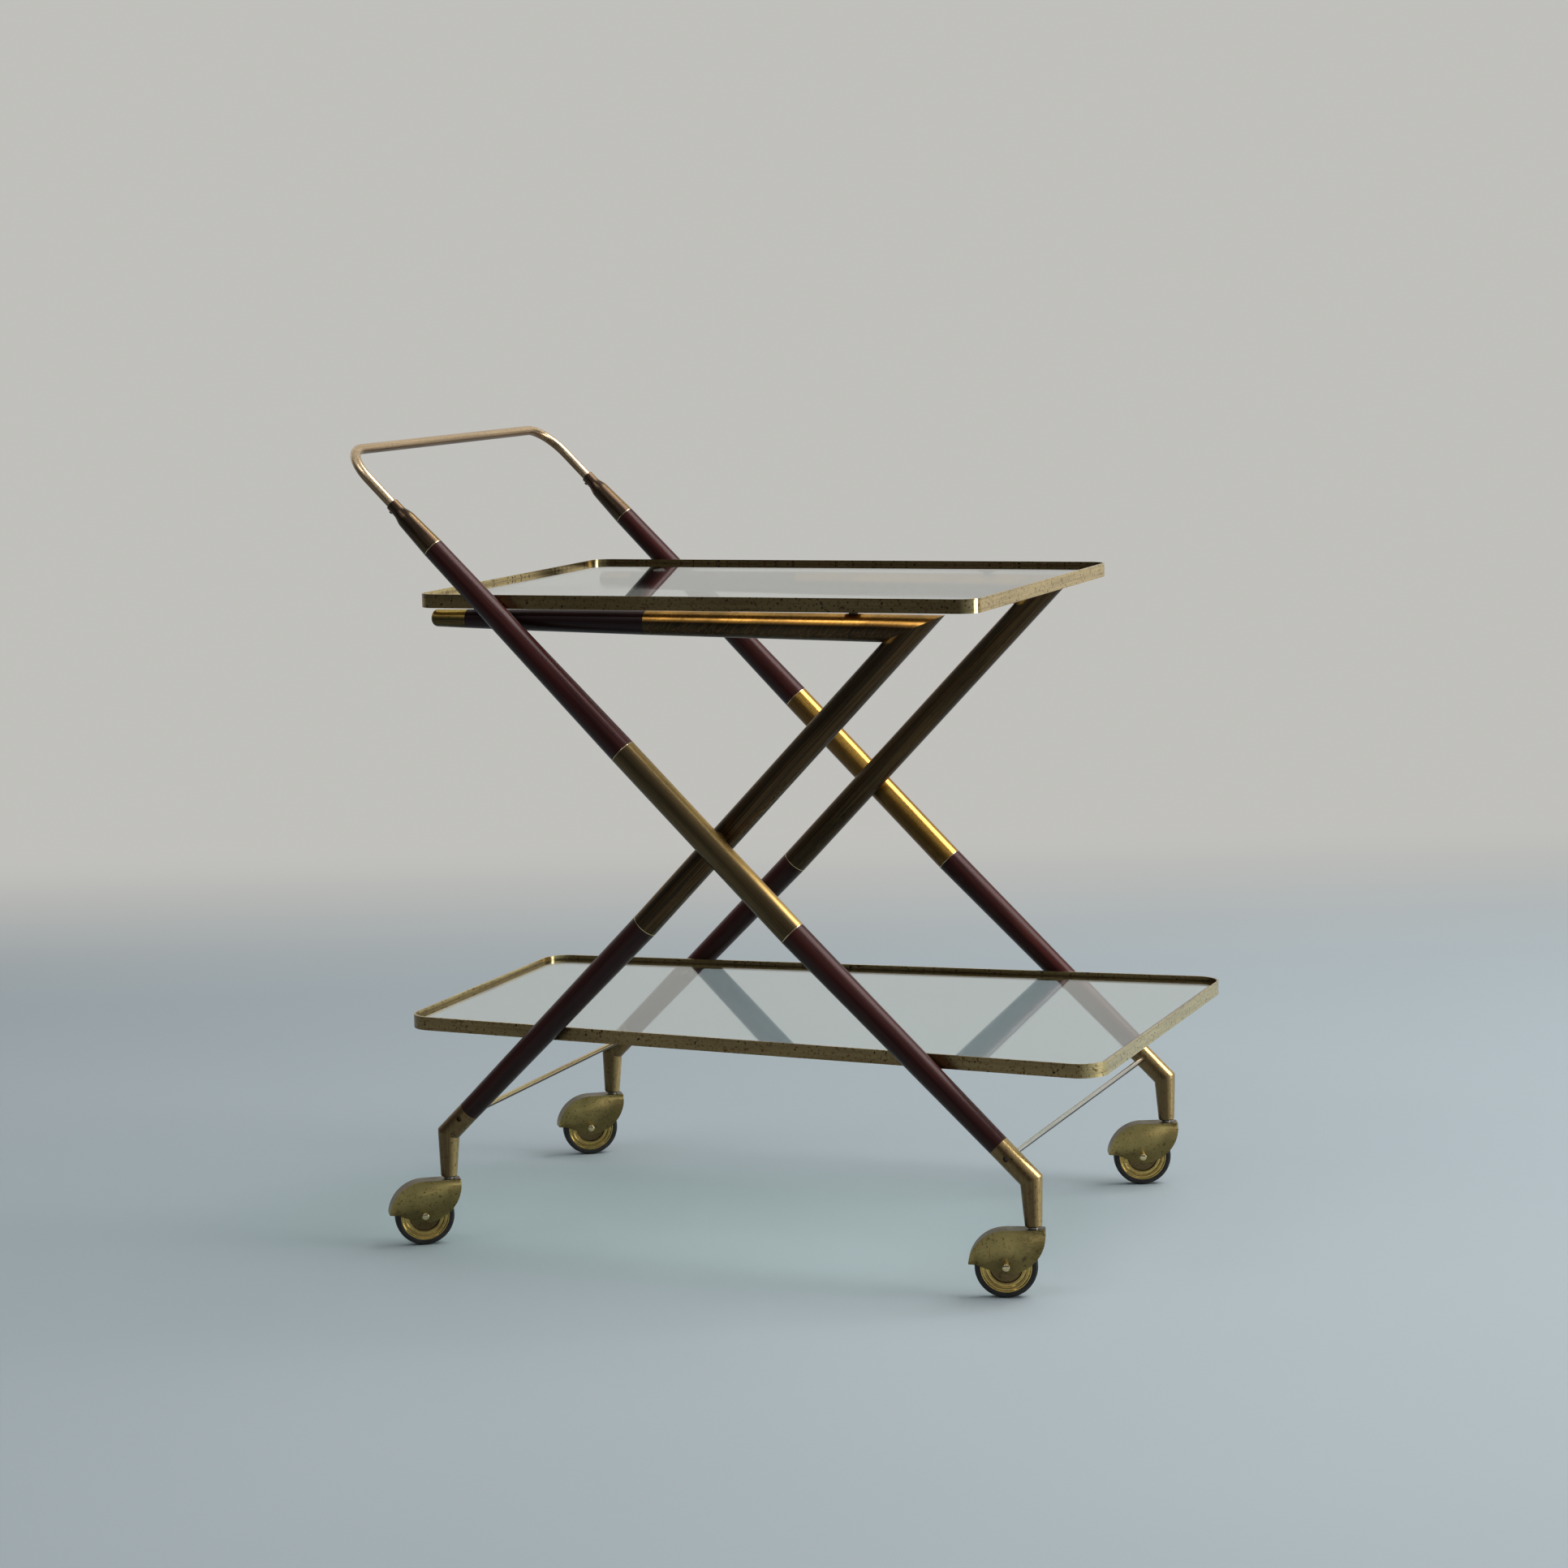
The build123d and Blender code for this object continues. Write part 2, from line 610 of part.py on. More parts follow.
def tray_prism(shape, z, height, inset):
    """A slab with a tray's plan: shape is left, right, left half-width, right half-width, corner radius."""
    corner_r = shape[4] - inset
    with BuildPart() as slab:
        with BuildSketch(Plane.XY.offset(z)):
            with BuildLine():
                left, right, left_half, right_half = shape[:4]
                lean = (right_half - left_half) / (right - left)
                side_inset = inset * sqrt(1 + lean * lean)
                low = left_half + lean * inset - side_inset
                high = right_half - lean * inset - side_inset
                Polyline(
                    (left + inset, -low),
                    (right - inset, -high),
                    (right - inset, high),
                    (left + inset, low),
                    close=True,
                )
            make_face()
        extrude(amount=height)
        fillet(slab.edges().filter_by(Axis.Z), radius=corner_r)
    return slab


def tray_rim(shape, z):
    """A flat brass strip bent round a tray, with a ledge inside that the glass lies on."""
    ledge_z = z + LEDGE_RISE
    with BuildPart() as rim:
        add(tray_prism(shape, z, RIM_HEIGHT, 0).part)
        add(tray_prism(shape, z - OVERRUN, LEDGE_RISE + OVERRUN, RIM_WALL).part, mode=Mode.SUBTRACT)
        add(tray_prism(shape, ledge_z + LEDGE_T, RIM_HEIGHT, RIM_WALL).part, mode=Mode.SUBTRACT)
        add(tray_prism(shape, z, RIM_HEIGHT, RIM_WALL + LEDGE_WIDTH).part, mode=Mode.SUBTRACT)
    return rim


def tray_glass(shape, z):
    """The glass pane that lies on a tray's ledge."""
    return tray_prism(shape, z + LEDGE_RISE + LEDGE_T, GLASS_T, RIM_WALL + GLASS_CLEARANCE)


UPPER_SHAPE = (UPPER_LEFT, UPPER_RIGHT, UPPER_HALF_WIDTH, UPPER_HALF_WIDTH, UPPER_CORNER_R)
LOWER_SHAPE = (
    LOWER_LEFT,
    LOWER_RIGHT,
    lower_half_width(LOWER_LEFT),
    lower_half_width(LOWER_RIGHT),
    LOWER_CORNER_R,
)


def upper_rim():
    """The upper rim, whose four ears drop over the pegs on the rails."""
    ear_end = INNER_Y - EAR_MARGIN
    ear_root = UPPER_HALF_WIDTH - RIM_WALL
    ear_height = LEDGE_RISE + LEDGE_T
    with BuildPart() as rim:
        add(tray_rim(UPPER_SHAPE, UPPER_Z).part)
        with BuildSketch(Plane.XY.offset(UPPER_Z)):
            for side in SIDES.values():
                for x in RAIL_PEG_XS:
                    with Locations((x, side * (ear_end + ear_root) / 2)):
                        Rectangle(EAR_WIDTH, ear_root - ear_end)
        extrude(amount=ear_height)
        with BuildSketch(Plane.XY.offset(UPPER_Z - OVERRUN)):
            for side in SIDES.values():
                for x in RAIL_PEG_XS:
                    with Locations((x, side * INNER_Y)):
                        Circle(RAIL_PEG_TIP_R + TRAY_SEAT_GAP)
        extrude(amount=OVERRUN + ear_height, mode=Mode.SUBTRACT)
    return rim


def lower_rim():
    """The lower rim, notched where it drops over the pegs on the legs."""
    notch_r = LEG_PEG_R + TRAY_SEAT_GAP
    cuts = [
        rod_along_y(x, PEG_Z, -OUTER_Y, OUTER_Y, notch_r)
        for x in (OUTER_PEG_X, INNER_PEG_X)
    ]
    return bored(tray_rim(LOWER_SHAPE, LOWER_Z), *cuts)


def side_view(x, y, turn):
    """The side view of the caster on the stem at x, y: its origin on the axle, X towards the stem, Y up."""
    ahead = (cos(radians(turn)), sin(radians(turn)))
    axle_at = (x - AXLE_TRAIL * ahead[0], y - AXLE_TRAIL * ahead[1], WHEEL_R)
    return Plane(origin=axle_at, x_dir=(ahead[0], ahead[1], 0), z_dir=(ahead[1], -ahead[0], 0))


def axle_plane(x, y, turn):
    """A caster's turning plane, whose Y is the axle and whose X is the radius."""
    view = side_view(x, y, turn)
    return Plane(origin=view.origin, x_dir=view.x_dir, z_dir=(0, 0, 1))


def hood(x, y, turn):
    """A leaf-shaped brass hood: two cheeks joined over the wheel by a bent band."""
    view = side_view(x, y, turn)
    lead = AXLE_TRAIL + HOOD_LEAD
    crown = (0, CROWN_R)
    brow = (lead, CROWN_R - HOOD_BROW)
    tip = (-sqrt(CROWN_R**2 - HOOD_TIP_RISE**2), HOOD_TIP_RISE)
    inner_r = CROWN_R - HOOD_WALL
    inner_lead = lead - HOOD_WALL
    with BuildPart() as shell:
        with BuildSketch(view):
            with BuildLine():
                Polyline(crown, (lead, CROWN_R), brow)
                TangentArc(brow, HOOD_CHIN, tangent=(0, -1))
                ThreePointArc(HOOD_CHIN, HOOD_BELLY, HOOD_JAW)
                Polyline(HOOD_JAW, HOOD_HEEL, tip)
                RadiusArc(tip, crown, CROWN_R)
            make_face()
        extrude(amount=HOOD_WIDTH / 2, both=True)
        chamfer(shell.edges().filter_by(lambda edge: on_band(edge, view)), length=HOOD_EDGE)
        with BuildSketch(view):
            with BuildLine():
                Polyline(
                    (0, inner_r),
                    (inner_lead, inner_r),
                    (inner_lead, -inner_r),
                    (-inner_r, -inner_r),
                    (-inner_r, 0),
                )
                RadiusArc((-inner_r, 0), (0, inner_r), inner_r)
            make_face()
        extrude(amount=HOOD_WIDTH / 2 - HOOD_WALL, both=True, mode=Mode.SUBTRACT)
    return bored(shell, stem_hole(x, y), axle_hole(view))


def on_band(edge, view):
    """Whether an edge of a hood's blank runs along its top band, on either cheek."""
    middle = view.to_local_coords(edge @ 0.5)
    outside = abs(abs(middle.Z) - HOOD_WIDTH / 2) < 0.01
    return outside and middle.Y > CROWN_R / 2 and middle.X < AXLE_TRAIL + HOOD_LEAD - 0.01


def stem_hole(x, y):
    """The upright cut for a caster's stem through the top of its hood."""
    with BuildPart() as hole:
        with BuildSketch(Plane(origin=(x, y, HOOD_TOP_Z - 2 * HOOD_WALL))):
            Circle(STEM_R)
        extrude(amount=3 * HOOD_WALL)
    return hole


def axle_hole(view):
    """The cut for the axle through both cheeks of a hood."""
    with BuildPart() as hole:
        with BuildSketch(view):
            Circle(AXLE_R)
        extrude(amount=HOOD_WIDTH / 2 + OVERRUN, both=True)
    return hole


def stem(x, y):
    """The steel swivel stem, headed under the hood, with a collar below the foot."""
    plane = Plane(origin=(x, y, HOOD_TOP_Z), x_dir=(1, 0, 0), z_dir=(0, -1, 0))
    collar = FOOT_GAP - TRAY_SEAT_GAP
    outline = (
        (0, -HOOD_WALL - STEM_HEAD_T),
        (STEM_HEAD_R, -HOOD_WALL - STEM_HEAD_T),
        (STEM_HEAD_R, -HOOD_WALL),
        (STEM_R, -HOOD_WALL),
        (STEM_R, 0),
        (STEM_COLLAR_R, 0),
        (STEM_COLLAR_R, collar),
        (STEM_R, collar),
        (STEM_R, STEM_DEPTH),
        (0, STEM_DEPTH),
    )
    return turned(plane, outline)


def axle(x, y, turn):
    """The rivet that the wheel runs on, headed outside each cheek."""
    half = HOOD_WIDTH / 2
    outline = (
        (0, -half - AXLE_HEAD_T),
        (AXLE_DOME_R, -half - AXLE_HEAD_T),
        (AXLE_HEAD_R, -half - AXLE_HEAD_T / 2),
        (AXLE_HEAD_R, -half),
        (AXLE_R, -half),
        (AXLE_R, half),
        (AXLE_HEAD_R, half),
        (AXLE_HEAD_R, half + AXLE_HEAD_T / 2),
        (AXLE_DOME_R, half + AXLE_HEAD_T),
        (0, half + AXLE_HEAD_T),
    )
    return turned(axle_plane(x, y, turn), outline)


def wheel_disc(x, y, turn):
    """The brass wheel: a hub, a face each side that steps in ring by ring, and the seat for the tyre."""
    bore_r = AXLE_R + AXLE_CLEARANCE
    hub_half = HOOD_WIDTH / 2 - HOOD_WALL - HUB_SIDE_CLEARANCE
    seat_r = WHEEL_R - TYRE_T
    lip_half = TYRE_WIDTH / 2
    groove_half = lip_half - DISC_STEP
    ring_half = groove_half - DISC_STEP
    centre_half = lip_half - DISC_CENTRE_DEEP
    half_outline = (
        (bore_r, hub_half),
        (HUB_R, hub_half),
        (HUB_R, centre_half),
        (DISC_RING_IN, centre_half),
        (DISC_RING_IN, ring_half),
        (DISC_RING_OUT, ring_half),
        (DISC_RING_OUT, groove_half),
        (seat_r - DISC_LIP, groove_half),
        (seat_r - DISC_LIP, lip_half),
        (seat_r, lip_half),
    )
    other_half = tuple((r, -half) for r, half in reversed(half_outline))
    return turned(axle_plane(x, y, turn), half_outline + other_half)


def tyre(x, y, turn):
    """The thin dark tyre, flat in the tread with bevelled shoulders."""
    seat_r = WHEEL_R - TYRE_T
    half = TYRE_WIDTH / 2
    outline = (
        (seat_r, -half),
        (WHEEL_R - TYRE_BEVEL, -half),
        (WHEEL_R, -half + TYRE_BEVEL),
        (WHEEL_R, half - TYRE_BEVEL),
        (WHEEL_R - TYRE_BEVEL, half),
        (seat_r, half),
    )
    return turned(axle_plane(x, y, turn), outline)


os.makedirs("parts", exist_ok=True)

save(handle(), "push_handle")
save(set_screws(), "handle_set_screws")
for name, side in SIDES.items():
    save(ferrule(side), f"ferrule_{name}")
    save(upper_wood(side), f"outer_upper_wood_{name}")
    save(sleeve(side), f"outer_sleeve_{name}")
    save(pivot_bush(OUTER, OUTER_Y, side), f"outer_pivot_bush_{name}")
    save(pivot_pin(side), f"pivot_pin_{name}")
    save(pivot_washer(side), f"pivot_washer_{name}")
    save(
        lower_wood(OUTER, OUTER_Y, side, OUTER_SOCKET_AT, OUTER_PEG_AT, OUTER_ROD_UP),
        f"outer_lower_wood_{name}",
    )
    save(elbow_foot(OUTER, OUTER_Y, side, OUTER_ELBOW_SOCKET, OUTER_ROD_UP), f"outer_foot_{name}")
    save(rail_cap(side), f"rail_cap_{name}")
    save(rail_wood(side), f"rail_wood_{name}")
    save(rail_bend(side), f"rail_bend_{name}")
    save(pivot_bush(INNER, INNER_Y, side), f"inner_pivot_bush_{name}")
    save(
        lower_wood(INNER, INNER_Y, side, INNER_SOCKET_AT, INNER_PEG_AT, INNER_ROD_UP),
        f"inner_lower_wood_{name}",
    )
    save(elbow_foot(INNER, INNER_Y, side, INNER_ELBOW_SOCKET, INNER_ROD_UP), f"inner_foot_{name}")
    for frame, leg, leg_y in (("outer", OUTER, OUTER_Y), ("inner", INNER, INNER_Y)):
        x, y = foot_x(leg), side * leg_y
        turn = CASTER_TURNS[frame, name]
        save(stem(x, y), f"{frame}_{name}_caster_stem")
        save(hood(x, y, turn), f"{frame}_{name}_caster_hood")
        save(axle(x, y, turn), f"{frame}_{name}_caster_axle")
        save(wheel_disc(x, y, turn), f"{frame}_{name}_wheel_disc")
        save(tyre(x, y, turn), f"{frame}_{name}_tyre")

save(crossbar(OUTER, OUTER_Y, OUTER_ROD_UP), "outer_crossbar")
save(crossbar(INNER, INNER_Y, INNER_ROD_UP), "inner_crossbar")

with BuildPart() as outer_pegs:
    for side in SIDES.values():
        add(peg_bar(OUTER, OUTER_Y, side, OUTER_PEG_AT).part)
save(outer_pegs, "outer_tray_pegs")

with BuildPart() as inner_pegs:
    for side in SIDES.values():
        add(peg_bar(INNER, INNER_Y, side, INNER_PEG_AT).part)
save(inner_pegs, "inner_tray_pegs")

with BuildPart() as rail_pegs:
    for side in SIDES.values():
        for x in RAIL_PEG_XS:
            add(rail_peg(side, x).part)
save(rail_pegs, "rail_pegs")

save(upper_rim(), "upper_tray_rim")
save(tray_glass(UPPER_SHAPE, UPPER_Z), "upper_tray_glass")
save(lower_rim(), "lower_tray_rim")
save(tray_glass(LOWER_SHAPE, LOWER_Z), "lower_tray_glass")
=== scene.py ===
"""The looks of the folding bar cart: camera, stage, lamps, materials and the smooth pieces.

Places are in metres, +Z up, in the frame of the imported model: the floor at Z = 0 and the legs
crossing on X = 0. Profiles, outlines and distances along the legs are in millimetres.
"""

import json
from math import cos, pi, radians, sin

import bmesh
import bpy
from mathutils import Matrix, Vector


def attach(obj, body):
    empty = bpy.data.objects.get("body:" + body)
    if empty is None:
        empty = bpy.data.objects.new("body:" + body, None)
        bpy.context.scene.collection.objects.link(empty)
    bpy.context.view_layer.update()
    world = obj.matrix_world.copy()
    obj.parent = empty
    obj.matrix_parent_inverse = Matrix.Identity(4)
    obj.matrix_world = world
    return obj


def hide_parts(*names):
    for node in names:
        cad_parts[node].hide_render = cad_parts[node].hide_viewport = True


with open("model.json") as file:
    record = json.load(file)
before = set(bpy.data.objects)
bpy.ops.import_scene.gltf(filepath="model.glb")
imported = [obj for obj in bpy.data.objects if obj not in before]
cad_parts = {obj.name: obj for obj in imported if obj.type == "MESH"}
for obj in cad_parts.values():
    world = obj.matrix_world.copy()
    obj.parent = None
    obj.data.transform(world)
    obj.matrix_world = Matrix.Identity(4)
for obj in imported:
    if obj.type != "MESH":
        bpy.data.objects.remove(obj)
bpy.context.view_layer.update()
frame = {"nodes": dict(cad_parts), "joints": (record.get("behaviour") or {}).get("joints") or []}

MM = 0.001
UP = Vector((0, 0, 1))
ACROSS = Vector((0, 1, 0))
SIDES = {"near": -1, "far": 1}

# The photograph's camera
CAMERA_AT = Vector((1.2460, -3.1827, 0.8748))
CAMERA_AZIMUTH = 21.575
CAMERA_DOWN = 7.79
CAMERA_ROLL = -1.40
LENS_MM = 85.91
SENSOR_MM = 36.0

# The stage: a floor that curves up into a backdrop, turned square to the camera
FLOOR_FRONT_Y = -16.0
FLOOR_BACK_Y = 4.0
BACKDROP_HEIGHT = 6.0
STAGE_HALF_WIDTH = 9.0
CURVE_R = 1.5
CURVE_STEPS = 16
BACKDROP_FROM_Y = 1.0
BACKDROP_FULL_Y = 2.4
BACKDROP_COLOUR = (0.53, 0.525, 0.50)
FLOOR_COLOURS = ((0.36, 0.415, 0.44), (0.40, 0.455, 0.48))

# The surround's colours at eye level and overhead, and the heights between which they change
WORLD_LOW = (0.06, 0.063, 0.066)
WORLD_HIGH = (0.46, 0.475, 0.49)
WORLD_RISE = (0.15, 0.8)

# Lamps: name, place, width and height, watts
LAMP_AIM = Vector((0, 0, 0.4))
LAMPS = (
    ("key", (1.7, 0.9, 3.2), (2.4, 2.4), 105),
    ("window", (4.3, 0.6, 1.0), (1.5, 1.9), 60),
    ("fill", (-1.4, -2.3, 3.6), (1.7, 0.9), 13),
)

# The legs' lines: height of the crossing, distances across, slopes
PIVOT_Z = 381.6
OUTER_Y = 210.0
INNER_Y = 183.8
OUTER_SLOPE = radians(44.96)
INNER_SLOPE = radians(46.03)
OUTER_WAY = Vector((cos(OUTER_SLOPE), 0, -sin(OUTER_SLOPE)))
INNER_WAY = Vector((-cos(INNER_SLOPE), 0, -sin(INNER_SLOPE)))
OUTER_TOP = OUTER_WAY.cross(ACROSS)

# Where the brass ends on the legs, from the crossing, and the radii there
OUTER_SLEEVE_UP = 113.8
OUTER_SLEEVE_DOWN = 106.3
OUTER_SLEEVE_R = 12.3
INNER_TUBE_DOWN = 108.9
INNER_TUBE_R = 12.2
EDGE_LIP = ((-0.5, 0.0), (-0.45, 0.13), (0.0, 0.16), (0.1, 0.1), (0.1, 0.0))

# The ferrules: distance of the neck from the crossing, and the profile of neck, flare and shoulder
FERRULE_AT = 421.0
FERRULE_LENGTH = 56.1
FERRULE_EDGE_R = 9.8
NECK_R = 5.9
NECK = [(0, 4.6), (0, 5.4), (0.5, NECK_R)]
FLARE_START = 9
FLARE_LENGTH = 12
FLARE_RISE = 2.4
FLARE_STEPS = 8
SHOULDER = [(54.7, 9.8), (55.7, 9.9), (FERRULE_LENGTH, 9.75), (FERRULE_LENGTH, 8.3)]

# The handle: its start's and its corner's distance from the crossing, bend and bar radius
HANDLE_START = 399.0
HANDLE_CORNER = 487.2
HANDLE_BEND = 35.0
HANDLE_BEND_STEPS = 24
HANDLE_R = 4.6
HANDLE_RING_STEPS = 40

# The rail caps: the tip's X and Z, the rail's line, the rounded end and the open one
CAP_TIP = (-274.1, 575.1)
RAIL_WAY = Vector((456.4, 0, -4.5)).normalized()
CAP_CORNER_R = 5
CAP_CORNER_STEPS = 9
CAP_FLAT_R = 2.7
CAP_END = [(34.3, 8.4), (34.8, 8.3), (34.8, 6.8)]

# The rails lie above this height, in metres
RAIL_LOW_Z = 0.560
RAIL_BLEND = 0.002

# The casters' hood, ahead of the axle and above it: lead, crown, tip and underside
HOOD_HALF = 8.0
HOOD_SHEET = 1.2
HOOD_LEAD = 34.0
HOOD_BROW = 27.7
LEAD_CORNER = ((0, 1.2), (0.35, 0.35), (1.2, 0))
CROWN_R = 32.7
CROWN_FLAT = (24, 12)
CROWN_ARC = (90, 174.4)
CROWN_STEPS = 28
UNDERSIDE = [
    (-28.8, 2.95), (-25.2, 2.7), (-19.2, 0.2), (-13.3, -2.3),
    (-9.5, -3.9), (-5.0, -5.3), (-0.3, -5.8), (4.8, -5.5),
]
BREAST_AT = (0.82, 27.7)
BREAST_R = 33.18
BREAST_ARC = (-74.6, -3)
BREAST_STEPS = 18
HOOD_EDGE_R = 1.5
HOOD_EDGE_STEPS = 5

# The casters' axle, wheel disc and tyre: distance from the wheel's middle plane, and radius
AXLE_R = 2.4
RIVET_R = 3.2
RIVET_PROUD = 1.2
RIVET_RIM = 0.35
RIVET_STEPS = 10
DISC_HALF = [
    (6.4, 2.5), (6.4, 5.5), (2.5, 5.9), (2.5, 13.9), (4.1, 14.4), (4.1, 15.0), (3.6, 15.4),
    (3.6, 17.6), (4.95, 18.0), (4.95, 18.7), (4.2, 19.2), (4.2, 20.9), (5.45, 21.3), (5.45, 22.4),
]
DISC_EASE = 0.35
# Inside this radius the disc takes a darker copy of its brass: painted shadow of the hood in the
# recess
DEEP_R = 14.2
TYRE_SECTION = [
    (-5.5, 22.3), (-5.5, 25.8), (-4.0, 27.15), (0, 27.3), (4.0, 27.15), (5.5, 25.8), (5.5, 22.3),
]
TYRE_EASE = 0.9

# How fine the turned pieces and their eased corners are, and the angle from which an edge is sharp
TURN_STEPS = 64
EASE_STEPS = 4
EASE_SHARE = 0.45
SHARP_FROM = 40

# Points nearer than this, in metres, are one, and shorter edges are dropped
SAME_POINT = 1e-7
NO_EDGE = 1e-8


def add_camera():
    """A camera with the photograph's place, aim, roll and lens."""
    azimuth, down, roll = radians(CAMERA_AZIMUTH), radians(CAMERA_DOWN), radians(CAMERA_ROLL)
    ahead = Vector((-sin(azimuth) * cos(down), cos(azimuth) * cos(down), -sin(down)))
    right = Vector((cos(azimuth), sin(azimuth), 0))
    up = right.cross(ahead)
    rolled_right = right * cos(roll) + up * sin(roll)
    rolled_up = up * cos(roll) - right * sin(roll)
    data = bpy.data.cameras.new("camera")
    data.lens = LENS_MM
    data.sensor_width = SENSOR_MM
    camera = bpy.data.objects.new("camera", data)
    turn = Matrix((rolled_right, rolled_up, -ahead)).transposed()
    camera.matrix_world = Matrix.Translation(CAMERA_AT) @ turn.to_4x4()
    bpy.context.scene.collection.objects.link(camera)
    bpy.context.scene.camera = camera


# Shader nodes

LEVEL = "level"

# The Mix node's sockets for colours
MIX_SHARE = 0
MIX_FIRST = 6
MIX_SECOND = 7
MIX_RESULT = 2


def add_node(tree, kind, inputs=None, **settings):
    """A shader node whose inputs are set from numbers, colours or other nodes' outputs."""
    made = tree.nodes.new(kind)
    for name, value in settings.items():
        setattr(made, name, value)
    for name, value in (inputs or {}).items():
        if isinstance(value, bpy.types.NodeSocket):
            tree.links.new(value, made.inputs[name])
        else:
            made.inputs[name].default_value = value
    return made


def new_material(name):
    """An empty node material, its tree, and its Principled shader."""
    material = bpy.data.materials.new(name)
    material.use_nodes = True
    tree = material.node_tree
    return material, tree, tree.nodes["Principled BSDF"]


def rgb(colour, gain=1.0):
    """A linear colour times a gain, with full alpha."""
    return (*(gain * c for c in colour), 1.0)


def spread(tree, value, low=0.0, high=1.0, start=0.0, end=1.0, **settings):
    """A value's range from low to high, mapped to start to end and held there beyond it."""
    inputs = {"Value": value, "From Min": low, "From Max": high, "To Min": start, "To Max": end}
    return add_node(tree, "ShaderNodeMapRange", inputs, **settings).outputs["Result"]


def combined(tree, operation, first, second):
    """Two values put through a Math operation."""
    return add_node(tree, "ShaderNodeMath", {0: first, 1: second}, operation=operation).outputs[0]


def mixed(tree, share, first, second):
    """The colour between two colours at a share from 0 to 1."""
    mix = add_node(tree, "ShaderNodeMix", data_type="RGBA")
    values = {MIX_SHARE: share, MIX_FIRST: first, MIX_SECOND: second}
    for index, value in values.items():
        if isinstance(value, bpy.types.NodeSocket):
            tree.links.new(value, mix.inputs[index])
        else:
            mix.inputs[index].default_value = value
    return mix.outputs[MIX_RESULT]


def object_place(tree, along=None, stretch=1.0):
    """The surface point in the object's own metres, drawn out along a way or all round a strip."""
    place = add_node(tree, "ShaderNodeTexCoord").outputs["Object"]
    if along is None:
        return place
    if along == LEVEL:
        drawn = {"Vector": place, "Scale": (1 / stretch, 1 / stretch, 1)}
        return add_node(tree, "ShaderNodeMapping", drawn).outputs["Vector"]
    turn = UP.rotation_difference(Vector(along)).inverted().to_euler()
    turned = add_node(tree, "ShaderNodeMapping", {"Vector": place, "Rotation": turn})
    drawn = {"Vector": turned.outputs["Vector"], "Scale": (1, 1, 1 / stretch)}
    return add_node(tree, "ShaderNodeMapping", drawn).outputs["Vector"]


def place_axis(tree, axis):
    """One coordinate of the surface point in the object's own metres."""
    return add_node(tree, "ShaderNodeSeparateXYZ", {"Vector": object_place(tree)}).outputs[axis]


def wear(tree, scale, low, high, detail=6.0, along=None, stretch=1.0, top=1.0):
    """A noise spread between two thresholds, from 0 to its top value."""
    inputs = {"Vector": object_place(tree, along, stretch), "Scale": scale, "Detail": detail}
    noise = add_node(tree, "ShaderNodeTexNoise", inputs)
    return spread(tree, noise.outputs["Fac"], low, high, end=top)


def facing(tree, way, low, high, top=1.0):
    """How far the surface faces a way in the object's own frame, spread between two cosines."""
    normal = add_node(tree, "ShaderNodeTexCoord").outputs["Normal"]
    both = {0: normal, 1: Vector(way).normalized()}
    cosine = add_node(tree, "ShaderNodeVectorMath", both, operation="DOT_PRODUCT").outputs["Value"]
    return spread(tree, cosine, low, high, end=top)


def set_colour(tree, shader, colour):
    """Links a colour to the shader's base colour."""
    tree.links.new(colour, shader.inputs["Base Color"])


def set_roughness(tree, shader, value, start, end):
    """Links a value from 0 to 1, mapped to start to end, to the shader's roughness."""
    tree.links.new(spread(tree, value, start=start, end=end), shader.inputs["Roughness"])


def set_bump(tree, shader, height, strength, distance_mm):
    """Links a bump map to the shader's normal."""
    inputs = {"Strength": strength, "Distance": distance_mm * MM, "Height": height}
    bump = add_node(tree, "ShaderNodeBump", inputs)
    tree.links.new(bump.outputs["Normal"], shader.inputs["Normal"])


def set_surface(tree, share, first, second):
    """Makes the surface a mix of two shaders."""
    inputs = {0: share, 1: first.outputs[0], 2: second.outputs[0]}
    both = add_node(tree, "ShaderNodeMixShader", inputs)
    tree.links.new(both.outputs[0], tree.nodes["Material Output"].inputs["Surface"])


# Materials

RUST = (0.10, 0.034, 0.012)
DARK_SPOT = (0.020, 0.011, 0.006)
SCUFF = (0.10, 0.035, 0.022)

# Gains on the brass's brown in its clouds, on its gold in drawn lines, and on the brown of the
# painted reflection on its top
CLOUD_GAINS = (0.70, 1.25)
LINE_GAIN = 0.5
TOP_SHADE_GAIN = 0.22

# How far the drawn lines show, and the gold in them where the brass is brown
LINE_SHARE = 0.5
LINE_GOLD = 0.10

# The cosines to the upward way between which the painted reflection darkens the top
TOP_SHADE_RISE = (0.12, 0.42)

# The wood, and the gain on its dark in the grain
WOOD_DARK = (0.015, 0.0045, 0.0038)
WOOD_RED = (0.074, 0.0125, 0.0100)
GRAIN_GAIN = 0.5


def lit_side_share(tree, along, lit_way, bare, rail_highlight):
    """How far the brass is gold: a painted highlight where it faces the given way, wider on the
    rails, made patchy by a noise.
    """
    # painted highlight: gold on the faces turned toward the lamps
    lit_side = facing(tree, *lit_way)
    # on the rails, a wider painted highlight along their tops
    if rail_highlight:
        at_rail = spread(tree, place_axis(tree, "Z"), RAIL_LOW_Z - RAIL_BLEND, RAIL_LOW_Z)
        wider = combined(tree, "MULTIPLY", at_rail, facing(tree, UP, *rail_highlight))
        lit_side = combined(tree, "MAXIMUM", lit_side, wider)
    thin = wear(tree, scale=45, low=0.35, high=0.62, detail=5, along=along, stretch=14, top=bare)
    patchy = combined(tree, "MULTIPLY", lit_side, thin)
    steady = combined(tree, "MULTIPLY", lit_side, 1.0 - bare)
    return combined(tree, "ADD", patchy, steady)


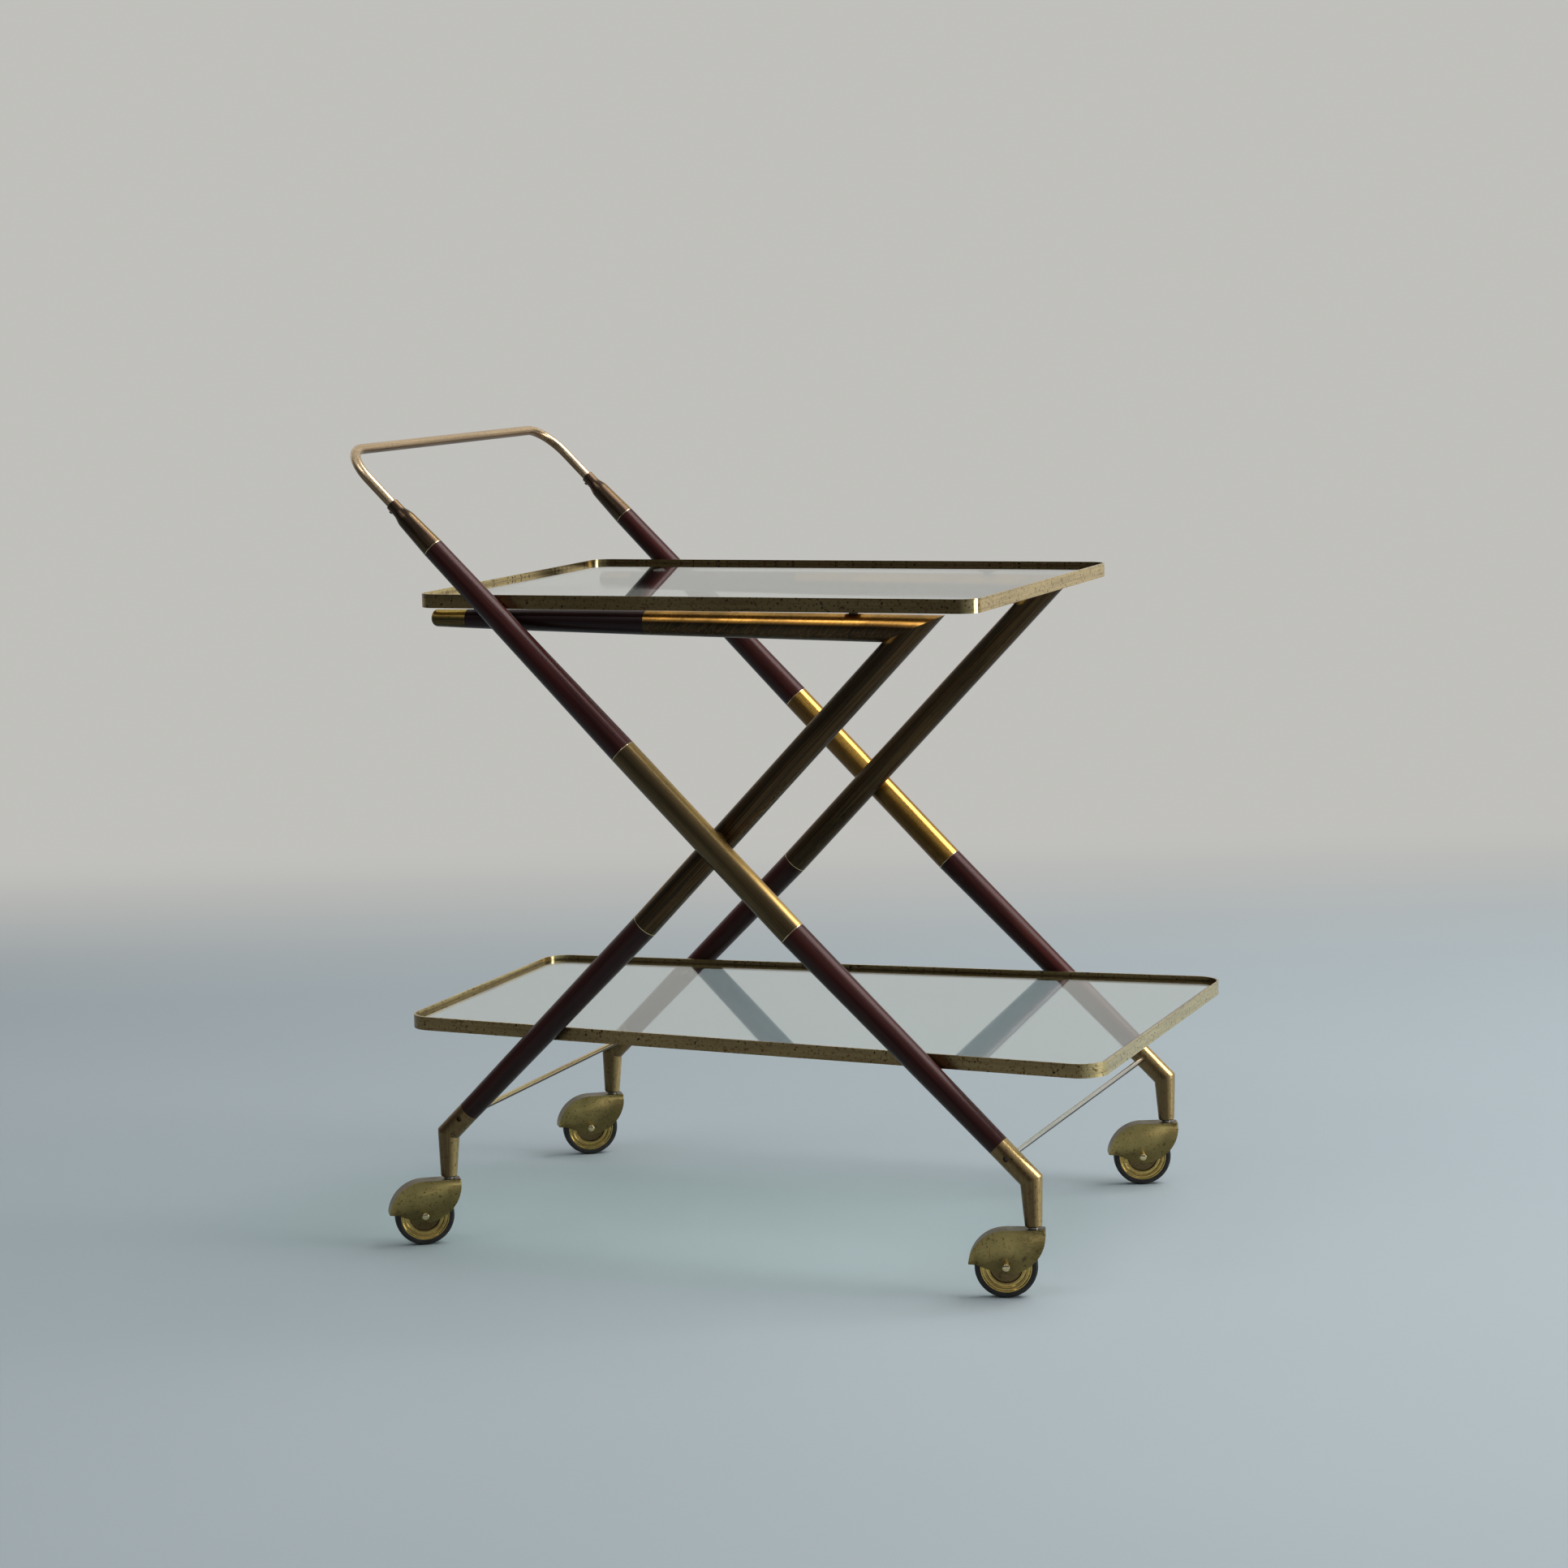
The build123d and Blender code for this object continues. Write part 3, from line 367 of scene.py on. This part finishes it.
def aged_brass(name, gold, brown, rough, spots, along, lit_way, bare, band=0.0, rail_highlight=None):
    """Old brass: brown patina, gold as a painted highlight where it faces the given way, with spots
    and drawn lines.

    rough: roughness where it is gold and where it is brown.
    spots: how strong rust and dark spots are.
    along: the way the tube is drawn.
    lit_way: a way, and the cosines to it between which the painted highlight grows.
    bare: how patchy the gold is.
    band: how dark the painted reflection is where the surface faces up.
    rail_highlight: the cosines to the upward way between which the painted highlight grows on the
    rails.
    """
    material, tree, shader = new_material(name)
    cloud = wear(tree, scale=34, low=0.36, high=0.66, detail=8, along=along, stretch=6)
    drawn = along or (1, 0, 0)
    lines = wear(tree, scale=700, low=0.46, high=0.60, detail=3, along=drawn, stretch=90)
    faint_lines = combined(tree, "MULTIPLY", lines, LINE_SHARE)
    share = lit_side_share(tree, along, lit_way, bare, rail_highlight)
    shade = mixed(tree, cloud, *(rgb(brown, gain) for gain in CLOUD_GAINS))
    hint = [LINE_GOLD * g + (1 - LINE_GOLD) * b for g, b in zip(gold, brown)]
    streak = mixed(tree, faint_lines, shade, rgb(hint))
    bright = mixed(tree, faint_lines, rgb(gold), rgb(gold, LINE_GAIN))
    base = mixed(tree, share, streak, bright)
    rust = wear(tree, scale=380, low=0.57, high=0.66, detail=6, top=spots)
    base = mixed(tree, rust, base, rgb(RUST))
    spot = wear(tree, scale=330, low=0.63, high=0.68, detail=6, top=min(1.0, 1.4 * spots))
    base = mixed(tree, spot, base, rgb(DARK_SPOT))
    # painted reflection: darker where the surface faces up, standing for the dark surroundings seen
    # in the hood's bent top
    if band:
        base = mixed(tree, facing(tree, UP, *TOP_SHADE_RISE, top=band), base, rgb(brown, TOP_SHADE_GAIN))
    set_colour(tree, shader, base)
    shader.inputs["Metallic"].default_value = 1.0
    set_roughness(tree, shader, share, rough[1], rough[0])
    dents = wear(tree, scale=90, low=0.3, high=0.7, detail=1, along=along, stretch=5)
    set_bump(tree, shader, dents, strength=0.10, distance_mm=0.12)
    return material


def dark_wood(name, along, dark=WOOD_DARK, red=WOOD_RED, lit_way=(UP, -0.3, 0.8)):
    """Dark red-brown varnished wood, grained along the leg, redder as painted light where it faces
    the given way.
    """
    material, tree, shader = new_material(name)
    tone = wear(tree, scale=16, low=0.30, high=0.62, along=along, stretch=6)
    grain = wear(tree, scale=480, low=0.38, high=0.62, detail=4, along=along, stretch=45, top=0.6)
    scuff = wear(tree, scale=60, low=0.66, high=0.76, detail=6, along=along, stretch=8, top=0.25)
    # painted light: redder where the surface faces the given way, toward the lamps
    painted_lit_red = combined(tree, "MULTIPLY", facing(tree, *lit_way), spread(tree, tone, start=0.35))
    base = mixed(tree, painted_lit_red, rgb(dark), rgb(red))
    base = mixed(tree, grain, base, rgb(dark, GRAIN_GAIN))
    set_colour(tree, shader, mixed(tree, scuff, base, rgb(SCUFF)))
    set_roughness(tree, shader, tone, 0.40, 0.33)
    shader.inputs["Specular IOR Level"].default_value = 0.22
    shader.inputs["Specular Tint"].default_value = rgb((1.0, 0.78, 0.74))
    shader.inputs["Coat Weight"].default_value = 0.06
    shader.inputs["Coat Roughness"].default_value = 0.12
    set_bump(tree, shader, tone, strength=0.08, distance_mm=0.15)
    return material


def tray_glass():
    """Clear float glass, faintly green, with a few smears; lamps light what is behind it."""
    material, tree, shader = new_material("tray_glass")
    shader.inputs["Base Color"].default_value = rgb((0.88, 0.94, 0.91))
    shader.inputs["Transmission Weight"].default_value = 1.0
    shader.inputs["IOR"].default_value = 1.5
    smear = wear(tree, scale=5, low=0.45, high=0.8, detail=5)
    set_roughness(tree, shader, smear, 0.0, 0.05)
    lamp_ray = add_node(tree, "ShaderNodeLightPath").outputs["Is Shadow Ray"]
    clear = add_node(tree, "ShaderNodeBsdfTransparent", {"Color": rgb((0.86, 0.90, 0.88))})
    set_surface(tree, lamp_ray, shader, clear)
    return material


def tyre_rubber():
    """Worn dark rubber with a little dust."""
    material, tree, shader = new_material("tyre_rubber")
    dust = wear(tree, scale=180, low=0.4, high=0.75)
    colour = mixed(tree, dust, rgb((0.007, 0.005, 0.004)), rgb((0.022, 0.017, 0.014)))
    set_colour(tree, shader, colour)
    shader.inputs["Roughness"].default_value = 0.55
    set_bump(tree, shader, dust, strength=0.2, distance_mm=0.15)
    return material


def dull_steel():
    """Dull steel with a little rust."""
    material, tree, shader = new_material("dull_steel")
    rust = wear(tree, scale=150, low=0.5, high=0.75)
    set_colour(tree, shader, mixed(tree, rust, rgb((0.42, 0.40, 0.36)), rgb((0.13, 0.08, 0.05))))
    shader.inputs["Metallic"].default_value = 1.0
    shader.inputs["Roughness"].default_value = 0.38
    return material


# Stage and light

def stage_paint():
    """The plain pale floor and backdrop, which shows its own colour to camera, metal and glass."""
    material, tree, shader = new_material("stage_paint")
    soft = wear(tree, scale=0.8, low=0.2, high=0.8, detail=3)
    set_colour(tree, shader, mixed(tree, soft, *(rgb(colour) for colour in FLOOR_COLOURS)))
    shader.inputs["Roughness"].default_value = 0.7
    depth = place_axis(tree, "Y")
    rise = spread(tree, depth, BACKDROP_FROM_Y, BACKDROP_FULL_Y, interpolation_type="SMOOTHSTEP")
    rays = add_node(tree, "ShaderNodeLightPath").outputs
    seen = combined(tree, "MAXIMUM", rays["Is Camera Ray"], rays["Is Glossy Ray"])
    seen = combined(tree, "MAXIMUM", seen, rays["Is Transmission Ray"])
    own = add_node(tree, "ShaderNodeEmission", {"Color": rgb(BACKDROP_COLOUR)})
    set_surface(tree, combined(tree, "MULTIPLY", seen, rise), shader, own)
    return material


def add_stage():
    """The floor, curved up behind into the backdrop."""
    outline = [(FLOOR_FRONT_Y, 0.0)]
    for step in range(CURVE_STEPS + 1):
        angle = radians(90) * step / CURVE_STEPS
        outline.append((FLOOR_BACK_Y + CURVE_R * sin(angle), CURVE_R * (1 - cos(angle))))
    outline.append((FLOOR_BACK_Y + CURVE_R, BACKDROP_HEIGHT))
    points = [(x, y, z) for y, z in outline for x in (-STAGE_HALF_WIDTH, STAGE_HALF_WIDTH)]
    faces = [(2 * i, 2 * i + 1, 2 * i + 3, 2 * i + 2) for i in range(len(outline) - 1)]
    mesh = bpy.data.meshes.new("stage")
    mesh.from_pydata(points, [], faces)
    mesh.shade_smooth()
    mesh.materials.append(stage_paint())
    stage = bpy.data.objects.new("stage", mesh)
    stage.rotation_euler.z = radians(CAMERA_AZIMUTH)
    bpy.context.scene.collection.objects.link(stage)


def add_area_light(name, at, size, watts):
    """A soft rectangular lamp aimed at the cart, which isn't seen through the glass."""
    data = bpy.data.lights.new(name, "AREA")
    data.shape = "RECTANGLE"
    data.size, data.size_y = size
    data.energy = watts
    lamp = bpy.data.objects.new(name, data)
    lamp.location = at
    lamp.visible_transmission = False
    lamp.rotation_euler = (LAMP_AIM - Vector(at)).to_track_quat("-Z", "Y").to_euler()
    bpy.context.scene.collection.objects.link(lamp)


def add_world():
    """A surround dim at eye level and pale overhead; the camera sees the backdrop's colour."""
    world = bpy.data.worlds.new("surround")
    world.use_nodes = True
    tree = world.node_tree
    way = add_node(tree, "ShaderNodeTexCoord").outputs["Generated"]
    height = add_node(tree, "ShaderNodeSeparateXYZ", {"Vector": way}).outputs["Z"]
    light = mixed(tree, spread(tree, height, *WORLD_RISE), rgb(WORLD_LOW), rgb(WORLD_HIGH))
    camera_ray = add_node(tree, "ShaderNodeLightPath").outputs["Is Camera Ray"]
    shown = mixed(tree, camera_ray, light, rgb(BACKDROP_COLOUR))
    tree.links.new(shown, tree.nodes["Background"].inputs["Color"])
    bpy.context.scene.world = world


# Shapes

def softened(outline, radius):
    """The closed outline with each corner eased off over up to this radius."""
    eased = []
    for i, corner in enumerate(outline):
        corner = Vector(corner)
        before = Vector(outline[i - 1]) - corner
        after = Vector(outline[(i + 1) % len(outline)]) - corner
        cut = min(radius, EASE_SHARE * before.length, EASE_SHARE * after.length)
        start, end = corner + before.normalized() * cut, corner + after.normalized() * cut
        for step in range(EASE_STEPS + 1):
            t = step / EASE_STEPS
            eased.append(start * (1 - t) ** 2 + corner * 2 * t * (1 - t) + end * t**2)
    return eased


def arc_points(centre, radius, start, end, steps):
    """Points on an arc between two angles in degrees."""
    angles = [radians(start + (end - start) * step / steps) for step in range(steps + 1)]
    return [(centre[0] + radius * cos(a), centre[1] + radius * sin(a)) for a in angles]


def swept_mesh(name, rings, looped=False):
    """A skin over closed rings of points; a ring whose points coincide closes to a tip."""
    skin = bmesh.new()
    rows = [[skin.verts.new(point) for point in ring] for ring in rings]
    count = len(rows[0])
    pairs = list(zip(rows, rows[1:]))
    if looped:
        pairs.append((rows[-1], rows[0]))
    for first, second in pairs:
        for i in range(count):
            j = (i + 1) % count
            skin.faces.new((first[i], first[j], second[j], second[i]))
    bmesh.ops.remove_doubles(skin, verts=skin.verts, dist=SAME_POINT)
    bmesh.ops.dissolve_degenerate(skin, edges=skin.edges, dist=NO_EDGE)
    bmesh.ops.recalc_face_normals(skin, faces=skin.faces)
    mesh = bpy.data.meshes.new(name)
    skin.to_mesh(mesh)
    skin.free()
    return mesh


def turned_mesh(name, origin, way, profile, looped=False):
    """A piece turned about a line: the profile gives distance along the way and radius, in mm."""
    way = Vector(way).normalized()
    side = way.orthogonal().normalized()
    other = way.cross(side)
    rings = []
    for distance, radius in profile:
        middle = Vector(origin) + way * distance * MM
        ring = []
        for step in range(TURN_STEPS):
            angle = 2 * pi * step / TURN_STEPS
            ring.append(middle + (side * cos(angle) + other * sin(angle)) * radius * MM)
        rings.append(ring)
    return swept_mesh(name, rings, looped=looped)


def add_piece(name, mesh, material, body, node=None):
    """A finished piece from a mesh: material, slot, the body it rides, the node it replaces."""
    mesh.shade_smooth()
    mesh.set_sharp_from_angle(angle=radians(SHARP_FROM))
    mesh.materials.append(material)
    piece = bpy.data.objects.new(name, mesh)
    bpy.context.scene.collection.objects.link(piece)
    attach(piece, body)
    if node:
        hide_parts(node)
    return piece


def crossing(leg_y, side):
    """The point where a leg's line crosses its partner's, in metres."""
    return Vector((0, side * leg_y, PIVOT_Z)) * MM


# Materials in use

# The ways given to each brass below put its gold as a painted highlight on the faces toward the
# lamps: tops, the legs' upper sides, and the feet's and rims' faces toward the window lamp.
GOLD = (0.80, 0.50, 0.16)
PALE = (0.90, 0.70, 0.34)
# painted light from above: the gold grows steadily from faces turned down to faces turned up
SOFT_TOP_LIGHT = (UP, -1, 1)

# The sleeves are one brass in two copies: the near one's darker brown is painted shade, the far
# one's brighter, wider gold is painted light.
brass_sleeve_near_shaded = aged_brass(
    "brass_sleeve_near_shaded", gold=GOLD, brown=(0.085, 0.060, 0.030), rough=(0.30, 0.38),
    spots=0.08, along=OUTER_WAY, lit_way=(OUTER_TOP, 0.82, 0.99), bare=0.85)
brass_sleeve_far_lit = aged_brass(
    "brass_sleeve_far_lit", gold=(0.80, 0.42, 0.085), brown=(0.13, 0.070, 0.024), rough=(0.20, 0.34),
    spots=0.25, along=OUTER_WAY, lit_way=(OUTER_TOP, 0.0, 0.6), bare=0.4)
brass_bend = aged_brass(
    "brass_bend", gold=(0.92, 0.46, 0.10), brown=(0.044, 0.031, 0.019), rough=(0.28, 0.38),
    spots=0.25, along=INNER_WAY, lit_way=(UP, 0.60, 0.72), bare=0.5, rail_highlight=(0.16, 0.40))
brass_cap = aged_brass(
    "brass_cap", gold=(0.86, 0.56, 0.14), brown=(0.060, 0.045, 0.020), rough=(0.20, 0.36),
    spots=0.4, along=(1, 0, 0), lit_way=(UP, 0.0, 0.6), bare=0.5)
brass_ferrule = aged_brass(
    "brass_ferrule", gold=GOLD, brown=(0.065, 0.043, 0.030), rough=(0.18, 0.30),
    spots=0.25, along=OUTER_WAY, lit_way=(OUTER_TOP, 0.92, 1.0), bare=0.8)
brass_handle = aged_brass(
    "brass_handle", gold=(1.0, 0.74, 0.45), brown=(0.20, 0.120, 0.065), rough=(0.22, 0.32),
    spots=0.25, along=ACROSS, lit_way=(UP, -0.3, 0.4), bare=0.30)
brass_foot = aged_brass(
    "brass_foot", gold=(0.80, 0.56, 0.24), brown=(0.15, 0.098, 0.046), rough=(0.22, 0.36),
    spots=0.4, along=UP, lit_way=((1, 0, 0.5), 0.35, 0.85), bare=0.5)
brass_rod = aged_brass(
    "brass_rod", gold=(0.95, 0.74, 0.40), brown=(0.060, 0.042, 0.024), rough=(0.22, 0.32),
    spots=0.2, along=ACROSS, lit_way=(UP, 0.02, 0.25), bare=0.20)
pale_rod = aged_brass(
    "pale_rod", gold=(0.95, 0.93, 0.84), brown=(0.060, 0.053, 0.042), rough=(0.22, 0.32),
    spots=0.1, along=ACROSS, lit_way=(UP, 0.02, 0.25), bare=0.20)
brass_rim = aged_brass(
    "brass_rim", gold=PALE, brown=(0.21, 0.145, 0.065), rough=(0.17, 0.30),
    spots=0.75, along=LEVEL, lit_way=((0.75, 0, 0.66), 0.15, 0.55), bare=0.20)
# The hood's top is painted darker: a painted reflection of the dark surroundings on its bend.
brass_hood = aged_brass(
    "brass_hood", gold=(0.62, 0.49, 0.18), brown=(0.330, 0.246, 0.092), rough=(0.26, 0.38),
    spots=0.42, along=None, lit_way=(UP, 0.9, 1.0), bare=0.9, band=0.88)
brass_disc = aged_brass(
    "brass_disc", gold=(0.88, 0.64, 0.22), brown=(0.38, 0.26, 0.085), rough=(0.12, 0.20),
    spots=0.25, along=None, lit_way=SOFT_TOP_LIGHT, bare=0.5)
# The disc's brass, darker, for its recess: painted shadow of the hood.
brass_disc_shaded = aged_brass(
    "brass_disc_shaded", gold=(0.26, 0.18, 0.08), brown=(0.085, 0.055, 0.026), rough=(0.18, 0.30),
    spots=0.4, along=None, lit_way=SOFT_TOP_LIGHT, bare=0.5)
brass_worn = aged_brass(
    "brass_worn", gold=(0.90, 0.76, 0.48), brown=(0.50, 0.40, 0.2), rough=(0.14, 0.22),
    spots=0.1, along=None, lit_way=SOFT_TOP_LIGHT, bare=0.3)
wood_outer = dark_wood("wood_outer", OUTER_WAY, lit_way=(OUTER_TOP, -0.5, 0.9))
wood_inner = dark_wood("wood_inner", INNER_WAY)
wood_rail = dark_wood(
    "wood_rail", (1, 0, 0), dark=(0.011, 0.0045, 0.0048), red=(0.030, 0.010, 0.010))
rubber = tyre_rubber()

# CAD nodes by a part of their name, in order of precedence
FINISHES = (
    ("glass", tray_glass()),
    ("rail_wood", wood_rail),
    ("inner_lower_wood", wood_inner),
    ("wood", wood_outer),
    ("outer_sleeve_near", brass_sleeve_near_shaded),
    ("outer_sleeve_far", brass_sleeve_far_lit),
    ("rail_bend", brass_bend),
    ("rail_pegs", brass_bend),
    ("rail_cap", brass_cap),
    ("ferrule", brass_ferrule),
    ("push_handle", brass_handle),
    ("foot", brass_foot),
    ("outer_crossbar", pale_rod),
    ("crossbar", brass_rod),
    ("rim", brass_rim),
    ("hood", brass_hood),
    ("wheel_disc", brass_disc),
    ("axle", brass_worn),
    ("tyre", rubber),
    ("washer", brass_worn),
    ("peg", brass_rod),
    ("screw", brass_rod),
    ("", dull_steel()),
)


def paint_nodes():
    """Gives every CAD node its material."""
    for name, node in frame["nodes"].items():
        finish = next(material for part, material in FINISHES if part in name)
        node.data.materials.clear()
        node.data.materials.append(finish)


# Casters

def hood_outline():
    """The cheek's outline: from brow over crown to tip, and back along the underside."""
    band = [(HOOD_LEAD, HOOD_BROW)]
    band += [(HOOD_LEAD - back, CROWN_R - down) for back, down in LEAD_CORNER]
    band += [(x, CROWN_R) for x in CROWN_FLAT]
    band += arc_points((0, 0), CROWN_R, *CROWN_ARC, CROWN_STEPS)
    return band, UNDERSIDE + arc_points(BREAST_AT, BREAST_R, *BREAST_ARC, BREAST_STEPS)


def hood_mesh(name, place):
    """A hood of bent sheet: two cheeks and the band over them, eased where they meet."""
    band, under = hood_outline()
    sheet = bmesh.new()
    cheeks = {}
    for side in (1, -1):
        cheeks[side] = [sheet.verts.new((x, y, side * HOOD_HALF)) for x, y in band + under]
    sheet.faces.new(cheeks[1])
    sheet.faces.new(list(reversed(cheeks[-1])))
    for i in range(len(band) - 1):
        sheet.faces.new((cheeks[1][i + 1], cheeks[1][i], cheeks[-1][i], cheeks[-1][i + 1]))
    shared = [edge for edge in sheet.edges if len(edge.link_faces) == 2]
    folds = [edge for edge in shared if edge.verts[0].co.z == edge.verts[1].co.z]
    rounding = {"offset": HOOD_EDGE_R, "segments": HOOD_EDGE_STEPS, "profile": 0.5}
    bmesh.ops.bevel(sheet, geom=folds, affect="EDGES", **rounding)
    bmesh.ops.recalc_face_normals(sheet, faces=sheet.faces)
    near = max(sheet.faces, key=lambda face: face.calc_center_median().z)
    if near.normal.z < 0:
        bmesh.ops.reverse_faces(sheet, faces=sheet.faces)
    bmesh.ops.transform(sheet, matrix=place @ Matrix.Scale(MM, 4), verts=sheet.verts)
    mesh = bpy.data.meshes.new(name)
    sheet.to_mesh(mesh)
    sheet.free()
    return mesh


def mirrored(half):
    """A section from its half: the half's reflection, then the half itself."""
    return [(-d, r) for d, r in reversed(half)] + half


def rivet_profile():
    """The axle with a domed head outside each cheek."""
    base = HOOD_HALF + RIVET_RIM
    rise = RIVET_PROUD - RIVET_RIM
    angles = [radians(90 * k / RIVET_STEPS) for k in range(RIVET_STEPS + 1)]
    dome = [(base + rise * sin(a), RIVET_R * cos(a)) for a in angles]
    return mirrored([(HOOD_HALF, AXLE_R), (HOOD_HALF, RIVET_R)] + dome)


def add_hood(corner, centre, across):
    """The bent sheet hood of one caster."""
    ahead = across.cross(UP)
    place = Matrix.Translation(centre) @ Matrix((ahead, UP, -across)).transposed().to_4x4()
    name, body = f"{corner}_hood_sheet", f"{corner}_caster"
    hood = add_piece(name, hood_mesh(name, place), brass_hood, body, f"{body}_hood")
    solid = hood.modifiers.new("sheet", "SOLIDIFY")
    solid.thickness = HOOD_SHEET * MM
    solid.offset = -1
    solid.use_even_offset = True


def add_rivet(corner, centre, across):
    """The axle rivet of one caster."""
    name = f"{corner}_rivet"
    mesh = turned_mesh(name, centre, across, rivet_profile())
    add_piece(name, mesh, brass_worn, f"{corner}_caster", f"{corner}_caster_axle")


def add_wheel(corner, centre, across):
    """The stepped brass disc, with painted shadow in its recess, and the tyre of one caster."""
    body = f"{corner}_wheel"
    section = softened(mirrored(DISC_HALF), DISC_EASE)
    mesh = turned_mesh(f"{corner}_disc", centre, across, section, looped=True)
    disc = add_piece(f"{corner}_disc", mesh, brass_disc, body, f"{corner}_wheel_disc")
    disc.data.materials.append(brass_disc_shaded)
    # faces inside the recess take the darker copy: painted shadow
    for face in disc.data.polygons:
        out = (face.center - centre) - across * (face.center - centre).dot(across)
        face.material_index = 1 if out.length < DEEP_R * MM else 0
    section = softened(TYRE_SECTION, TYRE_EASE)
    mesh = turned_mesh(f"{corner}_tread", centre, across, section, looped=True)
    add_piece(f"{corner}_tread", mesh, rubber, body, f"{corner}_tyre")


def add_casters():
    """Hood, rivet, wheel disc and tyre of each caster, in place of the plain CAD ones."""
    joints = {joint["name"]: joint for joint in frame["joints"]}
    for corner in ("outer_near", "outer_far", "inner_near", "inner_far"):
        roll = joints[f"{corner}_wheel_roll"]
        centre, across = Vector(roll["pos_m"]), Vector(roll["axis"])
        add_hood(corner, centre, across)
        add_rivet(corner, centre, across)
        add_wheel(corner, centre, across)


# Ferrules, handle, rail caps and the bright edges of the brass

def add_ferrules():
    """The bottle-shaped ferrules with a smooth flare."""
    flare = []
    for step in range(FLARE_STEPS + 1):
        t = step / FLARE_STEPS
        radius = NECK_R + FLARE_RISE * sin(radians(90 * t)) ** 2
        flare.append((FLARE_START + FLARE_LENGTH * t, radius))
    for name, side in SIDES.items():
        origin = crossing(OUTER_Y, side) - OUTER_WAY * FERRULE_AT * MM
        piece = f"ferrule_{name}_turned"
        mesh = turned_mesh(piece, origin, OUTER_WAY, NECK + flare + SHOULDER)
        add_piece(piece, mesh, brass_ferrule, "outer_frame", f"ferrule_{name}")


def handle_path():
    """Points on the handle's middle line and its way there, from near ferrule to far ferrule."""
    start = crossing(OUTER_Y, -1) - OUTER_WAY * HANDLE_START * MM
    corner = crossing(OUTER_Y, -1) - OUTER_WAY * HANDLE_CORNER * MM
    turn_at = corner + OUTER_WAY * HANDLE_BEND * MM
    centre = turn_at + ACROSS * (HANDLE_BEND * MM)
    half = [(start, -OUTER_WAY)]
    for step in range(HANDLE_BEND_STEPS + 1):
        angle = radians(90) * step / HANDLE_BEND_STEPS
        point = centre - ACROSS * cos(angle) * HANDLE_BEND * MM
        point -= OUTER_WAY * sin(angle) * HANDLE_BEND * MM
        half.append((point, ACROSS * sin(angle) - OUTER_WAY * cos(angle)))
    return half + [(Vector((p.x, -p.y, p.z)), Vector((-w.x, w.y, -w.z))) for p, w in reversed(half)]


def add_handle():
    """The push handle as one smooth bent bar."""
    plane = OUTER_WAY.cross(ACROSS).normalized()
    angles = [2 * pi * k / HANDLE_RING_STEPS for k in range(HANDLE_RING_STEPS)]
    rings = []
    for point, way in handle_path():
        side = way.cross(plane).normalized()
        rings.append([point + (side * cos(a) + plane * sin(a)) * HANDLE_R * MM for a in angles])
    mesh = swept_mesh("handle_bar", rings)
    add_piece("handle_bar", mesh, brass_handle, "outer_frame", "push_handle")


def add_rail_caps():
    """The rounded brass caps on the rails' free ends."""
    profile = [(0, 0)]
    for step in range(CAP_CORNER_STEPS + 1):
        angle = radians(90 * step / CAP_CORNER_STEPS)
        back = CAP_CORNER_R - CAP_CORNER_R * cos(angle)
        profile.append((back, CAP_FLAT_R + CAP_CORNER_R * sin(angle)))
    profile += CAP_END
    tip_x, tip_z = CAP_TIP
    for name, side in SIDES.items():
        origin = Vector((tip_x, side * INNER_Y, tip_z)) * MM
        piece = f"rail_cap_{name}_turned"
        mesh = turned_mesh(piece, origin, RAIL_WAY, profile)
        add_piece(piece, mesh, brass_cap, "inner_frame", f"rail_cap_{name}")


def add_edge(name, body, middle, way, distance, radius, outward=1):
    """The polished end of one brass length, a hair proud of the wood; outward is -1 at the top."""
    origin = middle + way * distance * MM
    profile = [(d, radius + h) for d, h in EDGE_LIP]
    mesh = turned_mesh(name, origin, way * outward, profile, looped=True)
    add_piece(name, mesh, brass_worn, body)


def add_bright_edges():
    """The polished ends of all the brass lengths that meet wood."""
    ferrule_end = FERRULE_LENGTH - FERRULE_AT
    for name, side in SIDES.items():
        outer = ("outer_frame", crossing(OUTER_Y, side), OUTER_WAY)
        inner = ("inner_frame", crossing(INNER_Y, side), INNER_WAY)
        add_edge(f"outer_top_edge_{name}", *outer, -OUTER_SLEEVE_UP, OUTER_SLEEVE_R, outward=-1)
        add_edge(f"outer_low_edge_{name}", *outer, OUTER_SLEEVE_DOWN, OUTER_SLEEVE_R)
        add_edge(f"ferrule_edge_{name}", *outer, ferrule_end, FERRULE_EDGE_R)
        add_edge(f"inner_low_edge_{name}", *inner, INNER_TUBE_DOWN, INNER_TUBE_R)


add_camera()
add_stage()
add_world()
for lamp in LAMPS:
    add_area_light(*lamp)

paint_nodes()
add_casters()
add_ferrules()
add_handle()
add_rail_caps()
add_bright_edges()

bpy.context.scene.view_settings.view_transform = "Standard"
